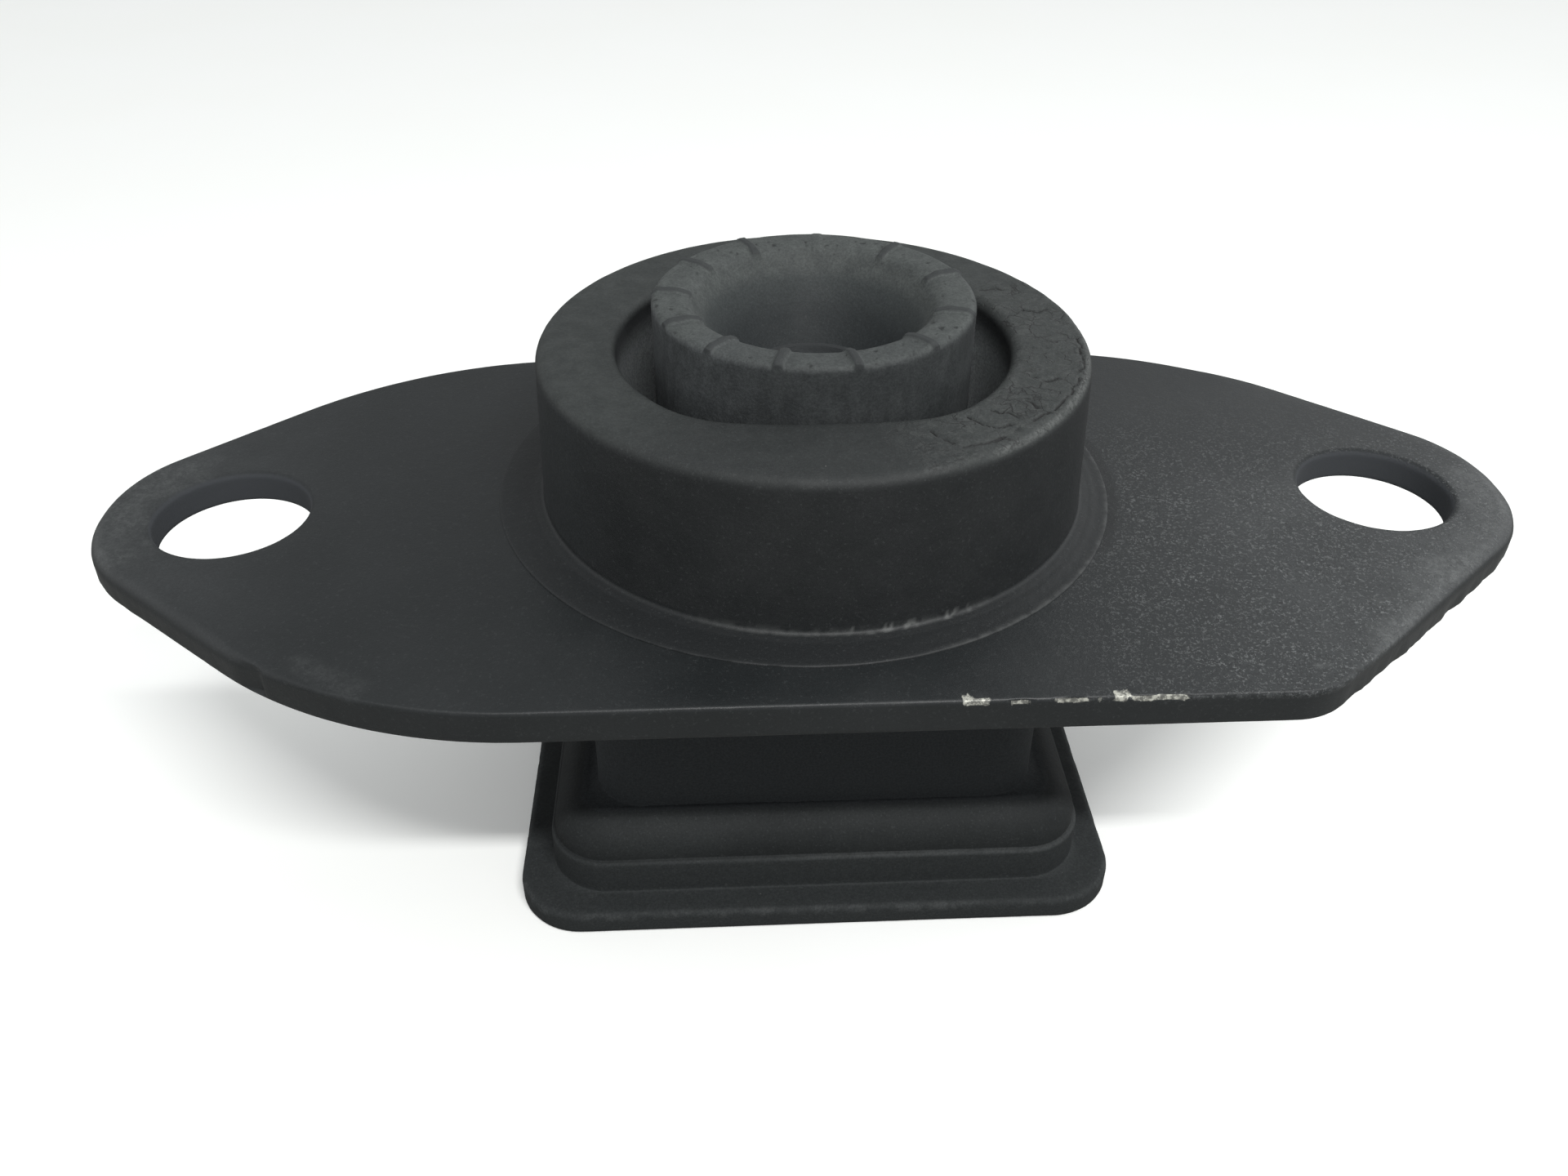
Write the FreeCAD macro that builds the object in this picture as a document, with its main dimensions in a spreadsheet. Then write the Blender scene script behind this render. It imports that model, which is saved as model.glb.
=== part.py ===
import FreeCAD, Part
import math
import os

import Sketcher

# A rubber-sprung engine and gearbox mount: a stamped plate with two bolt holes,
# a drawn steel housing under it, a rubber-covered stop ring on it, and a metal
# core that hangs in a rubber spring inside the housing and rises through the ring.
#
# Frame: +Z up, millimetres. The origin is under the middle of the plate, on the
# surface that the housing's flange rests on. +X runs along the plate from bolt
# hole to bolt hole. The ring and the core share an upright axis behind the middle.

SHEET = "dims"

# name, value in millimetres (degrees for angles), meaning
DIMENSIONS = [
    ("axis_y", 5.0, "ring and core axis, behind the middle of the plate"),

    ("plate_gauge", 4.0, "thickness of the mounting plate"),
    ("plate_top", 48.1, "height of the plate's upper face"),
    ("plate_half_depth", 39.4, "half of the plate's depth"),
    ("bolt_spacing", 143.2, "distance between the two bolt holes"),
    ("bolt_y", -0.7, "bolt holes, from the middle of the plate"),
    ("bolt_radius", 9.6, "radius of the bolt holes"),
    ("tip_spacing", 141.0, "distance between the centres of the rounded ends"),
    ("tip_y", -0.4, "centres of the rounded ends, from the middle of the plate"),
    ("tip_radius", 17.4, "radius of the plate's rounded ends"),
    ("front_angle", 40.4, "slope of the plate's front diagonals"),
    ("back_angle", 43.1, "slope of the plate's back diagonals"),
    ("front_left_blend", 53.0, "large radius at the front left corner"),
    ("front_right_blend", 9.0, "small radius at the front right corner"),
    ("back_blend", 52.0, "radius of both back corners"),
    ("centre_hole_radius", 26.0, "hole in the plate that the core rises through"),
    ("plate_edge_break", 0.5, "rounding of the plate's upper edge"),

    ("housing_gauge", 3.2, "sheet thickness of the drawn housing"),
    ("flange_half_width", 39.1, "foot flange, half of its width"),
    ("flange_half_depth", 32.9, "foot flange, half of its depth"),
    ("flange_corner", 8.5, "foot flange, corner radius"),
    ("flange_edge_round", 0.9, "rounding of the flange's upper edge"),
    ("band_half_width", 35.0, "band above the flange, half of its width"),
    ("band_half_depth", 28.9, "band above the flange, half of its depth"),
    ("band_corner", 7.8, "band above the flange, corner radius"),
    ("band_top", 8.4, "height of the band's upper edge"),
    ("band_step", 0.6, "how far the band stands proud of the box"),
    ("band_edge_round", 0.4, "rounding of the band's upper edge"),
    ("box_top", 13.6, "height of the box's shoulder"),
    ("shoulder_round", 4.5, "rounding of the shoulder"),
    ("neck_half_width", 28.6, "neck above the shoulder, half of its width"),
    ("neck_half_depth", 23.9, "neck above the shoulder, half of its depth"),
    ("neck_corner", 6.5, "neck above the shoulder, corner radius"),
    ("room_edge_round", 1.5, "rounding of the inner shoulder"),
    ("mouth_radius", 24.0, "opening in the housing's roof, radius"),
    ("mouth_half_depth", 20.2, "opening in the housing's roof, flats"),

    ("ring_height", 19.6, "stop ring, above the plate"),
    ("ring_top_radius", 33.0, "stop ring, outer radius at the top"),
    ("ring_foot_radius", 33.8, "stop ring, outer radius at the foot"),
    ("ring_top_round", 1.5, "stop ring, rounding of the outer top edge"),
    ("ring_mouth_round", 1.4, "stop ring, rounding of the inner top edge"),
    ("ring_opening_radius", 23.5, "stop ring, inner radius"),
    ("ring_opening_flat", 20.5, "stop ring, distance from the axis to the flats"),
    ("bead_radius", 35.1, "bead round the ring's foot, outer radius"),
    ("bead_height", 1.5, "bead round the ring's foot, above the plate"),
    ("bead_lean", 0.3, "how far the bead leans in towards its top"),
    ("bead_round", 0.35, "bead, rounding of its top"),
    ("bead_root_round", 0.3, "bead, rounding where it meets the skirt"),
    ("ring_root_round", 0.4, "rounding where the ring's wall meets the bead"),
    ("skirt_radius", 39.5, "thin skirt that the rubber forms on the plate"),
    ("skirt_height", 0.9, "skirt, thickness next to the bead"),
    ("skirt_edge_height", 0.6, "skirt, thickness at its edge"),
    ("skirt_edge_round", 0.4, "skirt, rounding of its edge"),

    ("sleeve_inner_radius", 27.4, "steel sleeve in the ring, inner radius"),
    ("sleeve_outer_radius", 30.4, "steel sleeve in the ring, outer radius"),
    ("sleeve_height", 16.4, "steel sleeve in the ring, height"),
    ("sleeve_chamfer", 0.6, "steel sleeve, chamfer of its upper edges"),

    ("hub_top", 73.15, "height of the hub's upper face"),
    ("hub_radius", 19.1, "hub, outer radius"),
    ("hub_edge_round", 0.9, "hub, rounding of the outer top edge"),
    ("hub_waist_radius", 16.6, "hub rubber inside the housing, outer radius"),
    ("waist_top", 46.0, "height at which the waist starts to widen"),
    ("head_bottom", 51.0, "height at which the full hub radius is reached"),
    ("waist_blend", 3.0, "rounding between the waist and the hub"),
    ("funnel_radius", 14.8, "funnel, radius at the mouth"),
    ("funnel_throat", 8.3, "funnel, radius at the throat"),
    ("throat_height", 62.8, "height of the funnel's throat"),
    ("funnel_sag", 1.5, "how far the funnel wall bows inwards"),
    ("funnel_bow_radius", 9.0, "funnel, radius of the bow in its wall"),
    ("funnel_lip_round", 2.4, "funnel, rounding of the lip"),
    ("rib_count", 12.0, "raised ribs on the hub's upper face"),
    ("rib_width", 1.1, "rib, width"),
    ("rib_height", 0.4, "rib, height"),
    ("rib_root", 0.7, "how deep the ribs are rooted in the hub"),
    ("rib_inner", 14.4, "rib, inner end, from the axis"),
    ("rib_outer", 19.0, "rib, outer end, from the axis"),
    ("rib_end_round", 0.3, "rib, rounding of its ends"),
    ("rib_first_angle", -10.7, "direction of the first rib"),

    ("core_bore_radius", 7.5, "core, through bore"),
    ("core_bottom", 8.0, "height of the core's lower face"),
    ("core_head_radius", 16.8, "core, radius of the head"),
    ("core_waist_radius", 14.0, "core, radius of the waist"),
    ("core_head_drop", 1.8, "core, head below the hub's upper face"),
    ("core_mouth_radius", 15.2, "core, radius of the mouth"),
    ("core_throat_radius", 9.9, "core, radius of the mouth's floor"),
    ("core_rim_round", 0.6, "core, rounding of the head's rim"),
    ("wedge_half_depth", 15.2, "core wedge, half of its depth"),
    ("wedge_top_half_width", 15.2, "core wedge, half width at the top"),
    ("wedge_bottom_half_width", 10.6, "core wedge, half width at the bottom"),
    ("wedge_top", 36.0, "height of the top of the core wedge"),
    ("wedge_round", 2.0, "core wedge, rounding of its corners"),

    ("liner", 1.4, "rubber bonded to the inside of the housing"),
    ("liner_top", 40.4, "height of the upper end of the liner"),
    ("spring_bottom", 12.0, "height of the lower end of the liner"),
    ("arm_half_depth", 16.8, "spring arms, half of their depth"),
    ("arm_root_top", 37.0, "upper side of the arms at the core"),
    ("arm_root_bottom", 20.5, "lower side of the arms at the core"),
    ("arm_foot_top", 29.5, "upper side of the arms at the housing"),
    ("arm_foot_bottom", 15.0, "lower side of the arms at the housing"),
    ("arm_round", 1.8, "rounding where the arms meet core and housing"),
    ("slot_inset", 1.5, "slots past the arms, from the side walls' liner"),
    ("slot_round", 1.0, "slots past the arms, corner radius"),
]

VALUES = {name: value for name, value, _ in DIMENSIONS}
FIRST_ROW = 2
SHARP = 0.0
OVERCUT = 1.0  # how far a cut reaches past the face that it opens
MARGIN = 0.1   # how far beyond a size an edge has to reach to be picked


class Length:
    """A number, together with the sheet formula that gives it."""

    def __init__(self, value, formula):
        self.value = value
        self.formula = formula

    def _with(self, other, sign, result):
        return Length(result, "(%s %s %s)" % (self.formula, sign, other.formula))

    def __add__(self, other):
        other = length(other)
        return self._with(other, "+", self.value + other.value)

    def __sub__(self, other):
        other = length(other)
        return self._with(other, "-", self.value - other.value)

    def __mul__(self, other):
        other = length(other)
        return self._with(other, "*", self.value * other.value)

    def __truediv__(self, other):
        other = length(other)
        return self._with(other, "/", self.value / other.value)

    def __neg__(self):
        return length(0.0) - self


def length(source):
    """A Length from a dimension's name, a plain number or a Length."""
    if isinstance(source, Length):
        return source
    if isinstance(source, str):
        return Length(VALUES[source], "%s.%s" % (SHEET, source))
    return Length(float(source), repr(float(source)))


# Document, bodies and sketches

def make_sheet(doc):
    """Write every driving dimension to the sheet, with its alias."""
    sheet = doc.addObject("Spreadsheet::Sheet", SHEET)
    for column, title in zip("ABC", ("dimension", "value", "meaning")):
        sheet.set("%s1" % column, title)
    for row, (name, value, meaning) in enumerate(DIMENSIONS, FIRST_ROW):
        sheet.set("A%d" % row, name)
        sheet.set("B%d" % row, str(value))
        sheet.set("C%d" % row, meaning)
        sheet.setAlias("B%d" % row, name)
    doc.recompute()


def make_body(doc, name, on_axis=True):
    """A new body, on the ring's axis or on the middle of the plate."""
    body = doc.addObject("PartDesign::Body", name)
    if on_axis:
        body.setExpression("Placement.Base.y", length("axis_y").formula)
    return body


def make_sketch(body, name, plane_role, height=None):
    """A sketch on one of the body's origin planes, raised by a height."""
    plane = next(item for item in body.Origin.OriginFeatures if item.Role == plane_role)
    sketch = body.newObject("Sketcher::SketchObject", name)
    sketch.AttachmentSupport = [(plane, "")]
    sketch.MapMode = "FlatFace"
    if height is not None:
        raised = length(height)
        sketch.AttachmentOffset.Base.z = raised.value
        sketch.setExpression("AttachmentOffset.Base.z", raised.formula)
    return sketch


def drive(sketch, kind, *where, by):
    """Add a dimension to a sketch and bind it to its formula."""
    by = length(by)
    value = math.radians(by.value) if kind == "Angle" else by.value
    index = sketch.addConstraint(Sketcher.Constraint(kind, *where, value))
    sketch.setExpression("Constraints[%d]" % index, by.formula)


def drive_point(sketch, geometry, end, x, y):
    """Hold one point of a sketch at x, y."""
    drive(sketch, "DistanceX", -1, 1, geometry, end, by=x)
    drive(sketch, "DistanceY", -1, 1, geometry, end, by=y)


def add_circle(sketch, x, y, radius):
    """A circle, driven by its centre and radius."""
    x, y, radius = length(x), length(y), length(radius)
    centre = FreeCAD.Vector(x.value, y.value, 0)
    circle = Part.Circle(centre, FreeCAD.Vector(0, 0, 1), radius.value)
    index = sketch.addGeometry(circle)
    drive(sketch, "Radius", index, by=radius)
    drive_point(sketch, index, 3, x, y)


def corner_round(before, corner, after, radius):
    """Both tangent points, the centre and the turn of a rounded corner."""
    towards_before = (before - corner).normalize()
    towards_after = (after - corner).normalize()
    half = towards_before.getAngle(towards_after) / 2
    reach = radius / math.tan(half)
    middle = (towards_before + towards_after).normalize()
    centre = corner + middle * (radius / math.sin(half))
    turns_left = towards_after.cross(towards_before).z > 0
    return corner + towards_before * reach, corner + towards_after * reach, centre, turns_left


def add_arc(sketch, start, end, centre, turns_left):
    """An arc from start to end. Gives its index and the ends' numbers."""
    first, last = (start, end) if turns_left else (end, start)
    angles = [math.atan2(point.y - centre.y, point.x - centre.x) for point in (first, last)]
    circle = Part.Circle(centre, FreeCAD.Vector(0, 0, 1), (start - centre).Length)
    index = sketch.addGeometry(Part.ArcOfCircle(circle, *angles))
    return (index, 1, 2) if turns_left else (index, 2, 1)


def add_loop(sketch, corners, driven=True):
    """A closed outline of straight sides.

    Each corner is (x, y, radius): a rounded one has an arc tangent to both
    sides, and a radius of SHARP leaves it sharp. When driven, each corner
    is held at its x, y. Gives the indices of the sides and of the arcs.
    """
    corners = [tuple(length(part) for part in corner) for corner in corners]
    points = [FreeCAD.Vector(x.value, y.value, 0) for x, y, _ in corners]
    count = len(points)
    rounds = []
    for index, (_, _, radius) in enumerate(corners):
        if radius.value > 0:
            near = points[index - 1], points[index], points[(index + 1) % count]
            rounds.append(corner_round(*near, radius.value))
        else:
            rounds.append((points[index], points[index], None, None))
    sides = []
    for index in range(count):
        start, end = rounds[index][1], rounds[(index + 1) % count][0]
        sides.append(sketch.addGeometry(Part.LineSegment(start, end)))
    arcs = []
    for index, (x, y, radius) in enumerate(corners):
        side_in, side_out = sides[index - 1], sides[index]
        start, end, centre, turns_left = rounds[index]
        if centre is None:
            sketch.addConstraint(Sketcher.Constraint("Coincident", side_in, 2, side_out, 1))
            arcs.append(None)
            if driven:
                drive_point(sketch, side_out, 1, x, y)
            continue
        arc, arc_start, arc_end = add_arc(sketch, start, end, centre, turns_left)
        sketch.addConstraint(Sketcher.Constraint("Tangent", side_in, 2, arc, arc_start))
        sketch.addConstraint(Sketcher.Constraint("Tangent", arc, arc_end, side_out, 1))
        drive(sketch, "Radius", arc, by=radius)
        arcs.append(arc)
        if driven:
            tip = sketch.addGeometry(Part.Point(points[index]), True)
            sketch.addConstraint(Sketcher.Constraint("PointOnObject", tip, 1, side_in))
            sketch.addConstraint(Sketcher.Constraint("PointOnObject", tip, 1, side_out))
            drive_point(sketch, tip, 1, x, y)
    return sides, arcs


def add_rectangle(sketch, half_width, half_depth, corner=SHARP):
    """A rectangle about the sketch's origin, with equal corner radii."""
    half_width, half_depth = length(half_width), length(half_depth)
    add_loop(sketch, [
        (-half_width, -half_depth, corner), (half_width, -half_depth, corner),
        (half_width, half_depth, corner), (-half_width, half_depth, corner)])


def add_flatted_circle(sketch, radius, flat):
    """A circle cut off by two straight flats, at y of plus and minus flat."""
    radius, flat = length(radius), length(flat)
    half = math.sqrt(radius.value ** 2 - flat.value ** 2)
    right = FreeCAD.Vector(half, flat.value, 0)
    corners = [FreeCAD.Vector(x * half, y * flat.value, 0)
               for x, y in ((-1, -1), (1, -1), (1, 1), (-1, 1))]
    angle = math.atan2(right.y, right.x)
    circle = Part.Circle(FreeCAD.Vector(), FreeCAD.Vector(0, 0, 1), radius.value)
    front = sketch.addGeometry(Part.LineSegment(corners[0], corners[1]))
    east = sketch.addGeometry(Part.ArcOfCircle(circle, -angle, angle))
    back = sketch.addGeometry(Part.LineSegment(corners[2], corners[3]))
    west = sketch.addGeometry(Part.ArcOfCircle(circle, math.pi - angle, math.pi + angle))
    loop = (front, east, back, west)
    for before, after in zip(loop, loop[1:] + loop[:1]):
        sketch.addConstraint(Sketcher.Constraint("Coincident", before, 2, after, 1))
    for arc in (east, west):
        sketch.addConstraint(Sketcher.Constraint("Coincident", arc, 3, -1, 1))
    for side in (front, back):
        sketch.addConstraint(Sketcher.Constraint("Horizontal", side))
    sketch.addConstraint(Sketcher.Constraint("Equal", east, west))
    drive(sketch, "Radius", east, by=radius)
    drive(sketch, "DistanceY", -1, 1, front, 1, by=-flat)
    drive(sketch, "DistanceY", -1, 1, back, 1, by=flat)


# Features

def add_pad(body, name, sketch, depth, both_ways=False):
    """Pad a sketch upwards, or half of the depth each way."""
    pad = body.newObject("PartDesign::Pad", name)
    pad.Profile = sketch
    if both_ways:
        pad.SideType = "Symmetric"
    depth = length(depth)
    pad.Length = depth.value
    pad.setExpression("Length", depth.formula)
    return pad


def add_pocket(body, name, sketch, depth=None, both_ways=False):
    """Cut a sketch upwards, or both ways, and see that it cuts.

    With no depth the cut runs right through.
    """
    body.Document.recompute()
    before = body.Shape.Volume
    pocket = body.newObject("PartDesign::Pocket", name)
    pocket.Profile = sketch
    pocket.Reversed = True
    if both_ways:
        pocket.SideType = "Symmetric"
    if depth is None:
        pocket.Type = "ThroughAll"
    else:
        depth = length(depth)
        pocket.Length = depth.value
        pocket.setExpression("Length", depth.formula)
    body.Document.recompute()
    if body.Shape.Volume >= before:
        raise RuntimeError("%s removes nothing" % name)
    return pocket


def add_revolution(body, name, sketch):
    """Turn a sketch once round its upright axis."""
    turn = body.newObject("PartDesign::Revolution", name)
    turn.Profile = sketch
    turn.ReferenceAxis = (sketch, ["V_Axis"])
    turn.Angle = 360.0
    return turn


def add_fillet(body, name, radius, wanted):
    """Round the edges of the body's tip that the test picks."""
    body.Document.recompute()
    tip = body.Tip
    edges = ["Edge%d" % number for number, edge in enumerate(tip.Shape.Edges, 1) if wanted(edge)]
    if not edges:
        raise RuntimeError("%s finds no edge" % name)
    fillet = body.newObject("PartDesign::Fillet", name)
    fillet.Base = (tip, edges)
    radius = length(radius)
    fillet.Radius = radius.value
    fillet.setExpression("Radius", radius.formula)
    body.Document.recompute()
    return fillet


def edge_at_height(height):
    """A test for edges that lie level at a height."""
    height = length(height).value

    def wanted(edge):
        box = edge.BoundBox
        return max(abs(box.ZMin - height), abs(box.ZMax - height)) < MARGIN / 10
    return wanted


# The pieces

def make_mounting_plate(doc):
    """Stamped plate: rounded ends on the bolt holes, one blunt front corner."""
    body = make_body(doc, "mounting_plate", on_axis=False)
    underside = length("plate_top") - "plate_gauge"
    outline = make_sketch(body, "plate_outline", "XY_Plane", underside)
    half_depth = length("plate_half_depth")
    tip_x, tip_y = length("tip_spacing") / 2, length("tip_y")

    front, back = math.radians(VALUES["front_angle"]), math.radians(VALUES["back_angle"])
    tip, depth = VALUES["tip_radius"], VALUES["plate_half_depth"]
    # Where the front and back diagonals of one end would meet the straight
    # edges, and each other.
    front_x = (tip_x.value + tip / math.sin(front)
               - (depth + tip_y.value) / math.tan(front))
    back_x = (tip_x.value + tip / math.sin(back)
              - (depth - tip_y.value) / math.tan(back))
    rise = ((back_x - front_x) * math.tan(back) + 2 * depth) / (
        1 + math.tan(back) / math.tan(front))
    end_x, end_y = front_x + rise / math.tan(front), rise - depth
    sides, arcs = add_loop(outline, [
        (-front_x, -half_depth, "front_left_blend"), (front_x, -half_depth, "front_right_blend"),
        (end_x, end_y, "tip_radius"), (back_x, half_depth, "back_blend"),
        (-back_x, half_depth, "back_blend"), (-end_x, end_y, "tip_radius")], driven=False)
    front_side, right_front, right_back, back_side, left_back, left_front = sides
    for side in (front_side, back_side):
        outline.addConstraint(Sketcher.Constraint("Horizontal", side))
    drive(outline, "DistanceY", -1, 1, front_side, 1, by=-half_depth)
    drive(outline, "DistanceY", -1, 1, back_side, 1, by=half_depth)
    drive_point(outline, arcs[2], 3, tip_x, tip_y)
    drive_point(outline, arcs[5], 3, -tip_x, tip_y)
    drive(outline, "Angle", right_front, by="front_angle")
    drive(outline, "Angle", right_back, by=length(180.0) - "back_angle")
    drive(outline, "Angle", left_back, by=length("back_angle") - 180.0)
    drive(outline, "Angle", left_front, by=-length("front_angle"))
    add_pad(body, "plate_blank", outline, "plate_gauge")

    holes = make_sketch(body, "plate_holes", "XY_Plane", underside)
    bolt_x = length("bolt_spacing") / 2
    for x in (-bolt_x, bolt_x):
        add_circle(holes, x, "bolt_y", "bolt_radius")
    add_circle(holes, 0.0, "axis_y", "centre_hole_radius")
    add_pocket(body, "punched_holes", holes)

    at_top = edge_at_height("plate_top")
    hole_reach = VALUES["centre_hole_radius"] + MARGIN

    def on_rim(edge):
        is_hole = isinstance(edge.Curve, Part.Circle) and edge.isClosed()
        return at_top(edge) and not (is_hole and edge.Curve.Radius < hole_reach)
    add_fillet(body, "rim_rounding", "plate_edge_break", on_rim)
    return body


def roof_underside():
    """Height of the inner face of the housing's roof."""
    return length("plate_top") - "plate_gauge" - "housing_gauge"


def add_block(body, name, size, height):
    """Pad a rounded rectangle up from the foot. The size is as add_rectangle takes it."""
    outline = make_sketch(body, name + "_outline", "XY_Plane")
    add_rectangle(outline, *size)
    add_pad(body, name, outline, height)


def level_rim(height, half_width, half_depth):
    """A test for level edges at a height that reach past a rectangle's sides."""
    at_height = edge_at_height(height)
    half_width, half_depth = length(half_width).value + MARGIN, length(half_depth).value + MARGIN

    def wanted(edge):
        box = edge.BoundBox
        reach_x = max(abs(box.XMin), abs(box.XMax))
        reach_y = max(abs(box.YMin), abs(box.YMax))
        return at_height(edge) and (reach_x > half_width or reach_y > half_depth)
    return wanted


def make_lower_housing(doc):
    """Drawn steel housing: flange, band, rounded shoulder, neck and pierced roof."""
    body = make_body(doc, "lower_housing")
    step, gauge = length("band_step"), length("housing_gauge")
    box = [length(size) - step for size in ("band_half_width", "band_half_depth", "band_corner")]
    neck = [length(size) for size in ("neck_half_width", "neck_half_depth", "neck_corner")]
    add_block(body, "neck", neck, length("plate_top") - "plate_gauge")
    add_block(body, "box", box, "box_top")
    add_fillet(body, "shoulder_rounding", "shoulder_round",
               level_rim("box_top", neck[0], neck[1]))
    add_block(body, "band", ("band_half_width", "band_half_depth", "band_corner"), "band_top")
    add_fillet(body, "band_rounding", "band_edge_round",
               level_rim("band_top", box[0], box[1]))
    add_block(body, "flange", ("flange_half_width", "flange_half_depth", "flange_corner"), gauge)
    add_fillet(body, "flange_rounding", "flange_edge_round",
               level_rim(gauge, "band_half_width", "band_half_depth"))

    room = make_sketch(body, "box_room_outline", "XY_Plane")
    add_rectangle(room, *[size - gauge for size in box])
    add_pocket(body, "box_room", room, length("box_top") - gauge)
    add_fillet(body, "room_rounding", "room_edge_round", edge_at_height(length("box_top") - gauge))
    well = make_sketch(body, "neck_room_outline", "XY_Plane")
    add_rectangle(well, *[size - gauge for size in neck])
    add_pocket(body, "neck_room", well, roof_underside())
    mouth = make_sketch(body, "mouth_outline", "XY_Plane", roof_underside() - OVERCUT)
    add_flatted_circle(mouth, "mouth_radius", "mouth_half_depth")
    add_pocket(body, "roof_mouth", mouth)
    return body


def make_stop_ring_sleeve(doc):
    """Steel tube that stands on the plate inside the rubber ring."""
    body = make_body(doc, "stop_ring_sleeve")
    profile = make_sketch(body, "sleeve_profile", "XZ_Plane")
    inner, outer = length("sleeve_inner_radius"), length("sleeve_outer_radius")
    foot, chamfer = length("plate_top"), length("sleeve_chamfer")
    top = foot + "sleeve_height"
    add_loop(profile, [
        (inner, foot, SHARP), (outer, foot, SHARP),
        (outer, top - chamfer, SHARP), (outer - chamfer, top, SHARP),
        (inner + chamfer, top, SHARP), (inner, top - chamfer, SHARP)])
    add_revolution(body, "turned_sleeve", profile)
    return body


def make_ring_moulding(doc):
    """Outer form of the rubber ring, with its bead, skirt and plate-hole lining."""
    body = make_body(doc, "ring_moulding")
    profile = make_sketch(body, "ring_profile", "XZ_Plane")
    plate, ring = length("plate_top"), length("ring_height")
    flat = length("ring_opening_flat")
    skirt, bead, foot = length("skirt_radius"), length("bead_radius"), length("ring_foot_radius")
    lining_foot = plate - "plate_gauge"
    add_loop(profile, [
        (flat, lining_foot, SHARP), ("centre_hole_radius", lining_foot, SHARP),
        ("centre_hole_radius", plate, SHARP), (skirt, plate, SHARP),
        (skirt, plate + "skirt_edge_height", "skirt_edge_round"),
        (bead, plate + "skirt_height", "bead_root_round"),
        (bead - "bead_lean", plate + "bead_height", "bead_round"),
        (foot, plate + "bead_height", "ring_root_round"),
        ("ring_top_radius", plate + ring, "ring_top_round"),
        (flat, plate + ring, SHARP)])
    add_revolution(body, "ring_turning", profile)
    opening = make_sketch(body, "ring_opening", "XY_Plane", lining_foot)
    add_flatted_circle(opening, "ring_opening_radius", "ring_opening_flat")
    add_pocket(body, "flatted_opening", opening)
    at_top = edge_at_height(plate + ring)
    mouth_reach = VALUES["ring_opening_radius"] + MARGIN

    def on_mouth(edge):
        box = edge.BoundBox
        reach = max(abs(value) for value in (box.XMin, box.XMax, box.YMin, box.YMax))
        return at_top(edge) and reach < mouth_reach
    add_fillet(body, "mouth_rounding", "ring_mouth_round", on_mouth)

    # The skirt stops at the plate's back edge, which is nearer than its radius.
    trim = make_sketch(body, "skirt_trim", "XY_Plane", lining_foot)
    back_edge = length("plate_half_depth") - "axis_y" - "plate_edge_break"
    add_loop(trim, [
        (-skirt, back_edge, SHARP), (skirt, back_edge, SHARP),
        (skirt, skirt + OVERCUT, SHARP), (-skirt, skirt + OVERCUT, SHARP)])
    add_pocket(body, "skirt_back_edge", trim)
    return body


def make_stop_ring_rubber(doc, sleeve):
    """Rubber cover of the stop ring, moulded round its steel sleeve."""
    rubber = doc.addObject("Part::Cut", "stop_ring_rubber")
    rubber.Base = make_ring_moulding(doc)
    rubber.Tool = sleeve
    return rubber


def make_inner_core(doc):
    """Metal core: flared head and waist, on a wedge that the arms grip."""
    body = make_body(doc, "inner_core")
    profile = make_sketch(body, "core_profile", "XZ_Plane")
    bore, head = length("core_bore_radius"), length("core_head_radius")
    waist, foot = length("core_waist_radius"), length("core_bottom")
    top = length("hub_top") - "core_head_drop"
    add_loop(profile, [
        (bore, "wedge_top", SHARP), (waist, "wedge_top", SHARP),
        (waist, "waist_top", SHARP), (head, "head_bottom", SHARP),
        (head, top, "core_rim_round"), ("core_mouth_radius", top, SHARP),
        ("core_throat_radius", "throat_height", SHARP), (bore, "throat_height", SHARP)])
    add_revolution(body, "core_turning", profile)
    wedge = make_sketch(body, "wedge_profile", "XZ_Plane")
    wide, narrow = length("wedge_top_half_width"), length("wedge_bottom_half_width")
    add_loop(wedge, [
        (-narrow, foot, "wedge_round"), (narrow, foot, "wedge_round"),
        (wide, "wedge_top", "wedge_round"), (-wide, "wedge_top", "wedge_round")])
    add_pad(body, "core_wedge", wedge, length("wedge_half_depth") * 2, both_ways=True)
    through = make_sketch(body, "bore_outline", "XY_Plane")
    add_circle(through, 0.0, 0.0, "core_bore_radius")
    add_pocket(body, "through_bore", through)
    return body


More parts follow.
